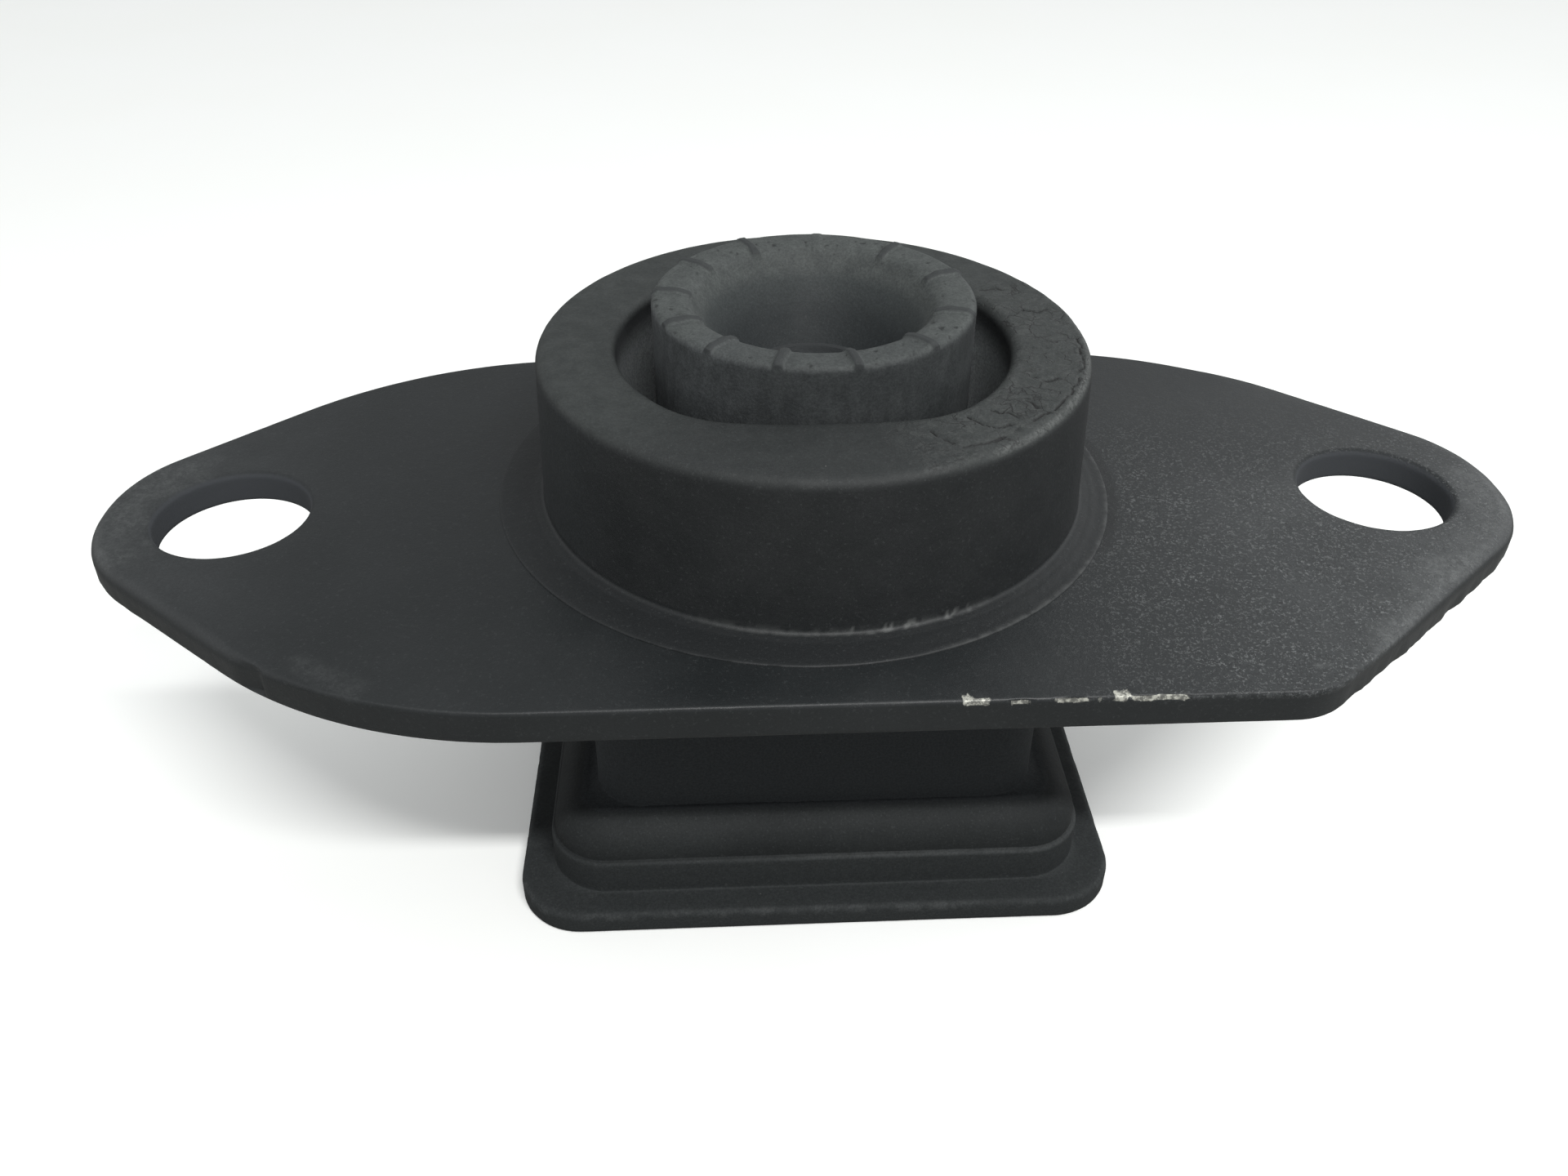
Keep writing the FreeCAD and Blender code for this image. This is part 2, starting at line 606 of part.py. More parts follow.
def make_spring_block(doc):
    """Rubber in the housing's neck: a liner all round and an arm each side."""
    body = make_body(doc, "spring_block")
    gauge, liner = length("housing_gauge"), length("liner")
    filling = [length(size) - gauge for size in ("neck_half_width", "neck_half_depth", "neck_corner")]
    wall, end_wall = filling[0] - liner, filling[1] - liner
    bottom, top = length("spring_bottom"), length("liner_top")
    outline = make_sketch(body, "filling_outline", "XY_Plane", bottom)
    add_rectangle(outline, *filling)
    add_pad(body, "filling", outline, top - bottom)

    # Space over each arm down to its sloping upper face, and space under it,
    # open to the housing's foot. Both reach the liner at front and back.
    root, foot = length("hub_waist_radius"), length("arm_foot_top")
    past_top, past_bottom = top + OVERCUT, bottom - OVERCUT
    flank = wedge_half_width("arm_root_bottom") + "liner"
    for name, side in (("left", -1.0), ("right", 1.0)):
        over = make_sketch(body, "space_over_%s_arm" % name, "XZ_Plane")
        add_loop(over, [
            (root * side, past_top, SHARP), (root * side, "arm_root_top", "arm_round"),
            (wall * side, foot, "arm_round"), (wall * side, past_top, SHARP)])
        add_pocket(body, "cut_over_%s_arm" % name, over, end_wall * 2, both_ways=True)
        under = make_sketch(body, "space_under_%s_arm" % name, "XZ_Plane")
        add_loop(under, [
            (flank * side, past_bottom, SHARP), (flank * side, "arm_root_bottom", "arm_round"),
            (wall * side, "arm_foot_bottom", "arm_round"), (wall * side, past_bottom, SHARP)])
        add_pocket(body, "cut_under_%s_arm" % name, under, end_wall * 2, both_ways=True)
    cut_end_slots(body, wall, end_wall)
    return body


def wedge_half_width(height):
    """Half width of the core's wedge at a height."""
    narrow, wide = length("wedge_bottom_half_width"), length("wedge_top_half_width")
    bottom, top = length("core_bottom"), length("wedge_top")
    return narrow + (wide - narrow) * ((length(height) - bottom) / (top - bottom))


def cut_end_slots(body, wall, end_wall):
    """Cut the slots between the arms' ends and the liner, front and back."""
    slots = make_sketch(body, "end_slots", "XY_Plane")
    near, half_width, corner = length("arm_half_depth"), wall - "slot_inset", length("slot_round")
    for side in (-1.0, 1.0):
        add_loop(slots, [
            (-half_width, near * side, corner), (half_width, near * side, corner),
            (half_width, end_wall * side, corner), (-half_width, end_wall * side, corner)])
    add_pocket(body, "slots_past_arms", slots)


def make_hub_moulding(doc):
    """Rubber round the core: waist, wide head, funnel and ribbed top."""
    body = make_body(doc, "hub_moulding")
    profile = make_sketch(body, "hub_profile", "XZ_Plane")
    waist, hub, top = length("hub_waist_radius"), length("hub_radius"), length("hub_top")
    mouth, throat = length("funnel_radius"), length("funnel_throat")
    middle_x = (mouth + throat) / 2 - "funnel_sag"
    middle_y = (top + "throat_height") / 2 - "funnel_sag"
    add_loop(profile, [
        (throat, "arm_root_top", SHARP), (waist, "arm_root_top", SHARP),
        (waist, "waist_top", "waist_blend"), (hub, "head_bottom", "waist_blend"),
        (hub, top, "hub_edge_round"), (mouth, top, "funnel_lip_round"),
        (middle_x, middle_y, "funnel_bow_radius"), (throat, "throat_height", SHARP)])
    add_revolution(body, "hub_turning", profile)

    # The ribs start inside the hub, because its lip and its rim are rounded.
    rib = make_sketch(body, "rib_outline", "XY_Plane", top - "rib_root")
    half, corner = length("rib_width") / 2, "rib_end_round"
    add_loop(rib, [
        ("rib_inner", -half, corner), ("rib_outer", -half, corner),
        ("rib_outer", half, corner), ("rib_inner", half, corner)])
    rib.setExpression("AttachmentOffset.Rotation.Angle", length("rib_first_angle").formula)
    pad = add_pad(body, "first_rib", rib, length("rib_root") + "rib_height")
    body.Document.recompute()
    ribs = body.newObject("PartDesign::PolarPattern", "rib_pattern")
    ribs.Originals = [pad]
    ribs.Axis = (rib, ["N_Axis"])
    ribs.Angle = 360.0
    ribs.setExpression("Occurrences", length("rib_count").formula)
    body.Tip = ribs
    body.Document.recompute()
    return body


def make_main_spring_rubber(doc, core):
    """The whole spring moulding: block and hub, less the core it is bonded to."""
    whole = doc.addObject("Part::Fuse", "spring_and_hub")
    whole.Base = make_spring_block(doc)
    whole.Tool = make_hub_moulding(doc)
    rubber = doc.addObject("Part::Cut", "spring_round_core")
    rubber.Base = whole
    rubber.Tool = core
    bore = doc.addObject("Part::Cylinder", "bore_room")
    bore.setExpression("Placement.Base.y", length("axis_y").formula)
    bore.setExpression("Radius", length("core_bore_radius").formula)
    bore.setExpression("Height", length("hub_top").formula)
    spring = doc.addObject("Part::Cut", "main_spring_rubber")
    spring.Base = rubber
    spring.Tool = bore
    return spring


def check_document(doc):
    """Stop if an object failed to compute."""
    doc.recompute()
    for item in doc.Objects:
        if "Invalid" in item.State or "Error" in item.State:
            raise RuntimeError("%s did not compute: %s" % (item.Name, item.State))


def export_pieces(pieces):
    """Write each finished piece to its own file."""
    for piece in pieces:
        shape = piece.Shape
        if shape.isNull() or not shape.isValid() or len(shape.Solids) != 1:
            raise RuntimeError("%s is not one valid solid" % piece.Name)
    os.makedirs("parts", exist_ok=True)
    for piece in pieces:
        piece.Shape.exportStep("parts/%s.step" % piece.Name)
        print("%-20s %9.1f mm3" % (piece.Name, piece.Shape.Volume))


def main():
    """Build every piece of the mount and write it out."""
    doc = FreeCAD.newDocument("engine_mount")
    make_sheet(doc)
    plate = make_mounting_plate(doc)
    housing = make_lower_housing(doc)
    sleeve = make_stop_ring_sleeve(doc)
    ring_rubber = make_stop_ring_rubber(doc, sleeve)
    core = make_inner_core(doc)
    spring = make_main_spring_rubber(doc, core)
    check_document(doc)
    export_pieces([plate, housing, sleeve, ring_rubber, core, spring])


main()
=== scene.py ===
"""Looks of the engine mount: detailed pieces, materials, floor, light and camera.

Lengths are in millimetres in the part's own frame, and turn into metres where a
mesh is made. Angles are in degrees, seen from above, with 0 along +X.
"""

from math import acos, atan2, ceil, cos, pi, radians, sin, sqrt, tan

import bmesh
import bpy
import numpy as np
from mathutils import Matrix, Vector
from mathutils.geometry import delaunay_2d_cdt
from numpy.linalg import norm


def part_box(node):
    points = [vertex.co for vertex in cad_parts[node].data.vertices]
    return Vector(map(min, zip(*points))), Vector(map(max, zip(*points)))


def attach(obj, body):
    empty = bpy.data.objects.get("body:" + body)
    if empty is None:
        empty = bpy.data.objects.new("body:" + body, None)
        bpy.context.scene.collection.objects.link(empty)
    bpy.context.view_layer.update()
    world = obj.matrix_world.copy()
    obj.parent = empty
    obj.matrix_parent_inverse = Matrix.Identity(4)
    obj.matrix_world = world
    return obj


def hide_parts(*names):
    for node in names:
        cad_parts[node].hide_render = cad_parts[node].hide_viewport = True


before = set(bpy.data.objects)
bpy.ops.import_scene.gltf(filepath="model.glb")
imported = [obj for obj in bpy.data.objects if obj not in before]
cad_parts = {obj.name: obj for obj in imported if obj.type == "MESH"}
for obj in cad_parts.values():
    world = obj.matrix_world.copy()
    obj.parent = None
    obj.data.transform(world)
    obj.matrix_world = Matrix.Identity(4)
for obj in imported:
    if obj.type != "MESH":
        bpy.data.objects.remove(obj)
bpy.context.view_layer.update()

MM = 0.001


def node_box(name):
    """Lowest and highest corner of a CAD node, in millimetres."""
    return [np.array(corner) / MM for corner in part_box(name)]


PLATE_LOW, PLATE_HIGH = node_box("mounting_plate")
HOUSING_LOW, HOUSING_HIGH = node_box("lower_housing")
RING_HIGH = node_box("stop_ring_rubber")[1]
SPRING_HIGH = node_box("main_spring_rubber")[1]

# Heights and the shared axis, from the CAD nodes.
AXIS = np.array([0.0, (HOUSING_LOW[1] + HOUSING_HIGH[1]) / 2, 0.0])
PLATE_TOP, PLATE_BOTTOM = PLATE_HIGH[2], PLATE_LOW[2]
PLATE_HALF_DEPTH = PLATE_HIGH[1]
RING_TOP = RING_HIGH[2]
RIB_HEIGHT = 0.4
HUB_TOP = SPRING_HIGH[2] - RIB_HEIGHT

# Mounting plate.
TIP_RADIUS = 17.4
TIP_X = PLATE_HIGH[0] - TIP_RADIUS
TIP_Y = -0.4
FRONT_SLOPE, BACK_SLOPE = 40.4, 43.1
FRONT_LEFT_BLEND, FRONT_RIGHT_BLEND, BACK_BLEND = 53.0, 9.0, 52.0
BOLT_X, BOLT_Y, BOLT_RADIUS = 71.6, -0.7, 9.25
CENTRE_HOLE_RADIUS = 26.0
TOP_EDGE_ROUND, TIP_EDGE_ROUND, HOLE_EDGE_ROUND, BOTTOM_EDGE_ROUND = 0.55, 1.7, 0.9, 0.15
OUTLINE_STEP, UPPER_STEP, LOWER_STEP = 0.45, 0.62, 1.5

# Stop ring. Its skirt lies a little to the left of the axis.
OPENING_RADIUS, OPENING_FLAT = 23.5, 20.5
RING_TOP_RADIUS, RING_FOOT_RADIUS = 33.0, 33.8
RING_TOP_ROUND, RING_MOUTH_ROUND = 1.5, 1.4
BEAD_RADIUS, BEAD_HEIGHT = 35.1, 0.9
SKIRT_RADIUS, SKIRT_HEIGHT, SKIRT_EDGE_HEIGHT = 38.4, 0.6, 0.22
SKIRT_OFFSET, SKIRT_BACK = 0.9, RING_HIGH[1] - AXIS[1]
RING_SPOKES = 640

# Hub and core.
HUB_RADIUS, WAIST_RADIUS = 19.1, 16.6
WAIST_TOP, HEAD_BOTTOM = 46.0, 51.0
HUB_EDGE_ROUND, LIP_ROUND = 0.9, 2.4
FUNNEL_RADIUS, THROAT_RADIUS, THROAT_HEIGHT = 14.8, 8.3, 62.8
FUNNEL_BOW = (10.4, 66.2)
CORE_THROAT_RADIUS, CORE_MOUTH_RADIUS = 9.9, 15.2
CORE_HEAD_RADIUS, CORE_WAIST_RADIUS = 16.8, 14.0
RIB_INNER, RIB_WIDTH = 14.2, 1.15
RIB_ANGLES = (-19, -49, -79, -105.5, -131, -156, 176, 146, 116, 85, 51.5, 17.5)
WORN_RIB = 85
HUB_SPOKES = 720

# Housing.
FLANGE = (HOUSING_HIGH[0], (HOUSING_HIGH[1] - HOUSING_LOW[1]) / 2, 8.5)
BAND, BOX, NECK = (35.0, 28.9, 7.8), (34.4, 28.3, 7.2), (28.6, 23.9, 6.5)
GAUGE, ROOT = 3.2, 0.2
BAND_TOP, BOX_TOP = 8.4, 13.6
FLANGE_ROUND, EDGE_ROUND, SHOULDER_ROUND = 0.9, 0.6, 4.5
ROOF_MOUTH_RADIUS, ROOF_MOUTH_FLAT = 24.0, 20.2
SIDE_PARTS, CORNER_POINTS = (90, 110), 26

# The camera's place and turn, and its focal length for a picture 1920 wide.
CAMERA_PLACE = (-10.81, -139.48, 136.76)
CAMERA_YAW, CAMERA_PITCH, CAMERA_ROLL = 2.982, 36.342, -0.359
FOCAL_PIXELS, IMAGE_WIDTH, SENSOR_WIDTH = 1612.8, 1920, 36.0

# The lamp, in metres and watts, and the half width of the floor.
LAMP_PLACE, LAMP_TILT = (0.13, -0.36, 0.55), 33.0
LAMP_WIDTH, LAMP_DEPTH, LAMP_POWER = 0.34, 0.03, 3.15
FLOOR_HALF, FLOOR_DROP = 3.0, 0.00005
# Brighter parts of the world: direction, cosine at the edge, and the strengths
# at the edge and in the middle. One is behind on the right, one low on the left.
GLOWS = (((0.80, 0.34, 0.50), 0.62, 0.39, 1.4), ((-0.95, 0.05, 0.25), 0.5, 0.0, 0.5))


# Fields, profiles and grids

def noise(points, size, seed):
    """A smooth random field from -1 to 1, with features of about a size."""
    table = np.random.default_rng(seed).uniform(-1.0, 1.0, 4096)
    cell = np.floor(points / size).astype(np.int64)
    part = points / size - cell
    part = part * part * (3.0 - 2.0 * part)
    total = np.zeros(len(points))
    for corner in np.ndindex(2, 2, 2):
        weight = np.prod(np.where(np.array(corner) == 1, part, 1.0 - part), axis=1)
        x, y, z = (cell + corner).T
        total += weight * table[(x * 73856093 ^ y * 19349663 ^ z * 83492791) % len(table)]
    return total


def layered_noise(points, size, seed, layers=3):
    """Noise with finer and weaker layers on top."""
    return sum(noise(points, size / 2.03 ** k, seed + k) / 2 ** k for k in range(layers))


def step_up(value, low, high):
    """0 below low, 1 above high, smooth between."""
    part = np.clip((value - low) / (high - low), 0.0, 1.0)
    return part * part * (3.0 - 2.0 * part)


def window(value, low, high, fade):
    """1 between low and high, fading out on both sides."""
    return step_up(value, low - fade, low) * (1.0 - step_up(value, high, high + fade))


def angle_window(angle, low, high, fade):
    """The same for angles in degrees, which may pass 180."""
    middle, half = (low + high) / 2, (high - low) / 2
    away = np.abs((angle - middle + 180.0) % 360.0 - 180.0)
    return 1.0 - step_up(away, half, half + fade)


def line_distance(x, y, route):
    """Distance of points to a broken line in the plane."""
    best = np.full(x.shape, 1e9)
    for (ax, ay), (bx, by) in zip(route, route[1:]):
        dx, dy = bx - ax, by - ay
        part = np.clip(((x - ax) * dx + (y - ay) * dy) / (dx * dx + dy * dy), 0.0, 1.0)
        best = np.minimum(best, np.hypot(x - ax - part * dx, y - ay - part * dy))
    return best


def rounded(corners, steps, closed=True):
    """Points along an outline of (a, b, radius) corners, no further apart than steps.

    Steps is one length, or one for each side, which starts at its corner.
    """
    count = len(corners)
    steps = [steps] * count if np.isscalar(steps) else list(steps)
    places = [np.array(corner[:2], float) for corner in corners]
    arcs = []
    for index, (*_, radius) in enumerate(corners):
        here, before, after = places[index], places[index - 1], places[(index + 1) % count]
        if radius == 0.0:
            arcs.append([here])
            continue
        to_before = (before - here) / norm(before - here)
        to_after = (after - here) / norm(after - here)
        half = acos(np.clip(to_before @ to_after, -1.0, 1.0)) / 2
        middle = (to_before + to_after) / norm(to_before + to_after)
        centre = here + middle * radius / sin(half)
        start = here + to_before * radius / tan(half)
        end = here + to_after * radius / tan(half)
        first = atan2(*(start - centre)[::-1])
        turn = (atan2(*(end - centre)[::-1]) - first + pi) % (2 * pi) - pi
        parts = max(3, ceil(abs(turn) * radius / min(steps[index], steps[index - 1])))
        bearings = first + turn * np.linspace(0.0, 1.0, parts + 1)
        arcs.append(list(centre + radius * np.column_stack([np.cos(bearings), np.sin(bearings)])))
    points = []
    for index in range(count):
        points += arcs[index]
        if index == count - 1 and not closed:
            break
        start, end = arcs[index][-1], arcs[(index + 1) % count][0]
        parts = max(1, ceil(norm(end - start) / steps[index]))
        points += [start + (end - start) * k / parts for k in range(1, parts)]
    return np.array(points)


def grid_normals(grid):
    """Unit normals of a closed grid of points, by differences."""
    along = np.roll(grid, -1, 0) - np.roll(grid, 1, 0)
    around = np.roll(grid, -1, 1) - np.roll(grid, 1, 1)
    normals = np.cross(around, along)
    return normals / np.maximum(norm(normals, axis=2, keepdims=True), 1e-9)


def outward_normals(grid, upward):
    """The same, turned so that the marked points face up."""
    normals = grid_normals(grid)
    return normals * (1.0 if (normals[..., 2] * upward).sum() > 0 else -1.0)


def field_over(grid):
    """Layered noise over a grid of points, as a call with size, seed and layers."""
    points = grid.reshape(-1, 3)

    def field(size, seed, layers=1, stretch=(1, 1, 1)):
        values = layered_noise(points * np.array(stretch), size, seed, layers)
        return values.reshape(grid.shape[:2])

    return field


def swept(profile, spokes):
    """A profile of radius and height turned about the axis, as three grids."""
    angles = np.linspace(-pi, pi, spokes, endpoint=False)
    radius = np.repeat(profile[:, :1], spokes, 1)
    height = np.repeat(profile[:, 1:], spokes, 1)
    return radius, height, np.repeat(angles[None], len(profile), 0)


def about_axis(radius, height, turn):
    """A grid of points from their radius about the axis, height and angle."""
    return np.stack([AXIS[0] + radius * np.cos(turn), AXIS[1] + radius * np.sin(turn), height], -1)


def grid_faces(rows, columns, closed_rows=True, first=0):
    """Quads of a grid that closes round its columns, and round its rows if asked."""
    row, column = np.meshgrid(np.arange(rows if closed_rows else rows - 1),
                              np.arange(columns), indexing="ij")
    next_row, next_column = (row + 1) % rows, (column + 1) % columns
    quads = [row * columns + column, row * columns + next_column,
             next_row * columns + next_column, next_row * columns + column]
    return np.stack(quads, axis=-1).reshape(-1, 4) + first


# Pieces

def add_piece(name, points, faces, material, replaced, masks):
    """A smooth mesh piece that rides on the part, with its masks as attributes."""
    mesh = bpy.data.meshes.new(name)
    faces = [list(map(int, face)) for face in faces]
    mesh.from_pydata((np.asarray(points) * MM).tolist(), [], faces)
    mesh.polygons.foreach_set("use_smooth", np.ones(len(mesh.polygons), bool))
    for mask, values in masks.items():
        attribute = mesh.attributes.new(mask, "FLOAT", "POINT")
        attribute.data.foreach_set("value", np.asarray(values, np.float32).ravel())
    outward = bmesh.new()
    outward.from_mesh(mesh)
    bmesh.ops.recalc_face_normals(outward, faces=outward.faces)
    outward.to_mesh(mesh)
    outward.free()
    mesh.set_sharp_from_angle(angle=radians(50.0))
    mesh.materials.append(material)
    piece = bpy.data.objects.new(name, mesh)
    bpy.context.scene.collection.objects.link(piece)
    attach(piece, "root")
    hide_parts(*replaced)


def plate_outline(step):
    """The plate's outline and its outward directions, the same distance apart."""
    front, back = radians(FRONT_SLOPE), radians(BACK_SLOPE)
    front_x = TIP_X + TIP_RADIUS / sin(front) - (PLATE_HALF_DEPTH + TIP_Y) / tan(front)
    back_x = TIP_X + TIP_RADIUS / sin(back) - (PLATE_HALF_DEPTH - TIP_Y) / tan(back)
    rise = ((back_x - front_x) * tan(back) + 2 * PLATE_HALF_DEPTH) / (
        1 + tan(back) / tan(front))
    end_x, end_y = front_x + rise / tan(front), rise - PLATE_HALF_DEPTH
    points = rounded([
        (-front_x, -PLATE_HALF_DEPTH, FRONT_LEFT_BLEND),
        (front_x, -PLATE_HALF_DEPTH, FRONT_RIGHT_BLEND), (end_x, end_y, TIP_RADIUS),
        (back_x, PLATE_HALF_DEPTH, BACK_BLEND), (-back_x, PLATE_HALF_DEPTH, BACK_BLEND),
        (-end_x, end_y, TIP_RADIUS)], 0.1)
    sides = norm(np.roll(points, -1, 0) - points, axis=1)
    length = np.concatenate([[0.0], np.cumsum(sides)])
    closed = np.vstack([points, points[:1]])
    count = round(length[-1] / step)
    places = np.arange(count) * length[-1] / count
    even = np.column_stack([np.interp(places, length, closed[:, k]) for k in (0, 1)])
    along = np.roll(even, -1, 0) - np.roll(even, 1, 0)
    outward = np.column_stack([along[:, 1], -along[:, 0]])
    return even, outward / norm(outward, axis=1, keepdims=True)


def circle_outline(x, y, radius, step):
    """A hole's outline, with its directions out of the material."""
    count = round(2 * pi * radius / step)
    angles = np.linspace(0.0, 2 * pi, count, endpoint=False)
    spokes = np.column_stack([np.cos(angles), np.sin(angles)])
    return np.array([x, y]) + spokes * radius, -spokes


def wall_rows(outline, outward, top_round, bottom_round, margin):
    """Rows of points down the plate's side, from the upper face to the lower."""
    top_round = np.broadcast_to(top_round, len(outline))
    section = [(margin, PLATE_TOP)]
    for turn in np.linspace(0.0, pi / 2, 8):
        section.append((top_round * (1 - sin(turn)),
                        PLATE_TOP - top_round * (1 - cos(turn))))
    straight = PLATE_TOP - top_round - PLATE_BOTTOM - bottom_round
    for part in np.linspace(0.0, 1.0, 9)[1:]:
        section.append((0.0, PLATE_TOP - top_round - part * straight))
    section += [(bottom_round, PLATE_BOTTOM), (margin, PLATE_BOTTOM)]
    return np.array([np.column_stack([
        outline - outward * np.broadcast_to(inset, len(outline))[:, None],
        np.broadcast_to(height, len(outline))]) for inset, height in section])


def plate_sheet(loops, spacing, height):
    """Triangles that fill the plate between its outline and its holes."""
    low, high = loops[0].min(0), loops[0].max(0)
    rows = np.arange(low[1], high[1], spacing * sqrt(3) / 2)
    grid = np.array([(x + (k % 2) * spacing / 2, y) for k, y in enumerate(rows)
                     for x in np.arange(low[0], high[0], spacing)])
    outline, holes = loops[0], loops[1:]
    edge = np.roll(outline, -1, 0) - outline
    edge /= norm(edge, axis=1, keepdims=True)
    outline, edge = outline[::4], edge[::4]
    depth = np.min((grid[:, None, 1] - outline[None, :, 1]) * edge[None, :, 0]
                   - (grid[:, None, 0] - outline[None, :, 0]) * edge[None, :, 1], axis=1)
    keep = depth > spacing * 0.6
    circles = [(hole.mean(0), norm(hole[0] - hole.mean(0))) for hole in holes]
    for centre, radius in circles:
        keep &= norm(grid - centre, axis=1) > radius + spacing * 0.6
    points = np.vstack([*loops, grid[keep]])
    edges, first = [], 0
    for loop in loops:
        edges += [(first + k, first + (k + 1) % len(loop)) for k in range(len(loop))]
        first += len(loop)
    result = delaunay_2d_cdt([Vector(point) for point in points], edges, [], 1, 1e-6)
    found = np.array([tuple(point) for point in result[0]])
    faces = [face for face in result[2]
             if all(norm(found[list(face)].mean(0) - centre) > radius
                    for centre, radius in circles)]
    return np.column_stack([found, np.full(len(found), height)]), faces


# Bare metal along the plate's front edge: from x, to x, reach.
EDGE_CHIPS = ((12.6, 15.4, 0.6), (17.6, 19.3, 0.15), (22.3, 25.6, 0.25),
              (26.8, 27.1, 0.2), (28.4, 29.8, 1.0), (30.4, 36.4, 0.3))

# Rubbed places on the plate's upper face: a route, its reach and its strength.
SCUFFS = (
    (((-56.5, -29.8), (-53.5, -32.6), (-49.5, -35.0)), 2.4, 0.22),
    (((76.0, -16.5), (70.5, -21.0), (65.0, -27.0), (60.5, -32.5)), 4.6, 0.95),
    (((85.0, 2.0), (84.0, -7.0), (78.5, -15.5)), 4.2, 0.7),
    (((56.0, -6.0), (60.0, -1.5)), 6.0, 0.16),
    (((-84.0, -9.0), (-85.6, 0.0), (-82.0, 9.0)), 7.0, 0.5),
    (((51.2, -35.2), (52.4, -35.1)), 0.5, 1.0),
)


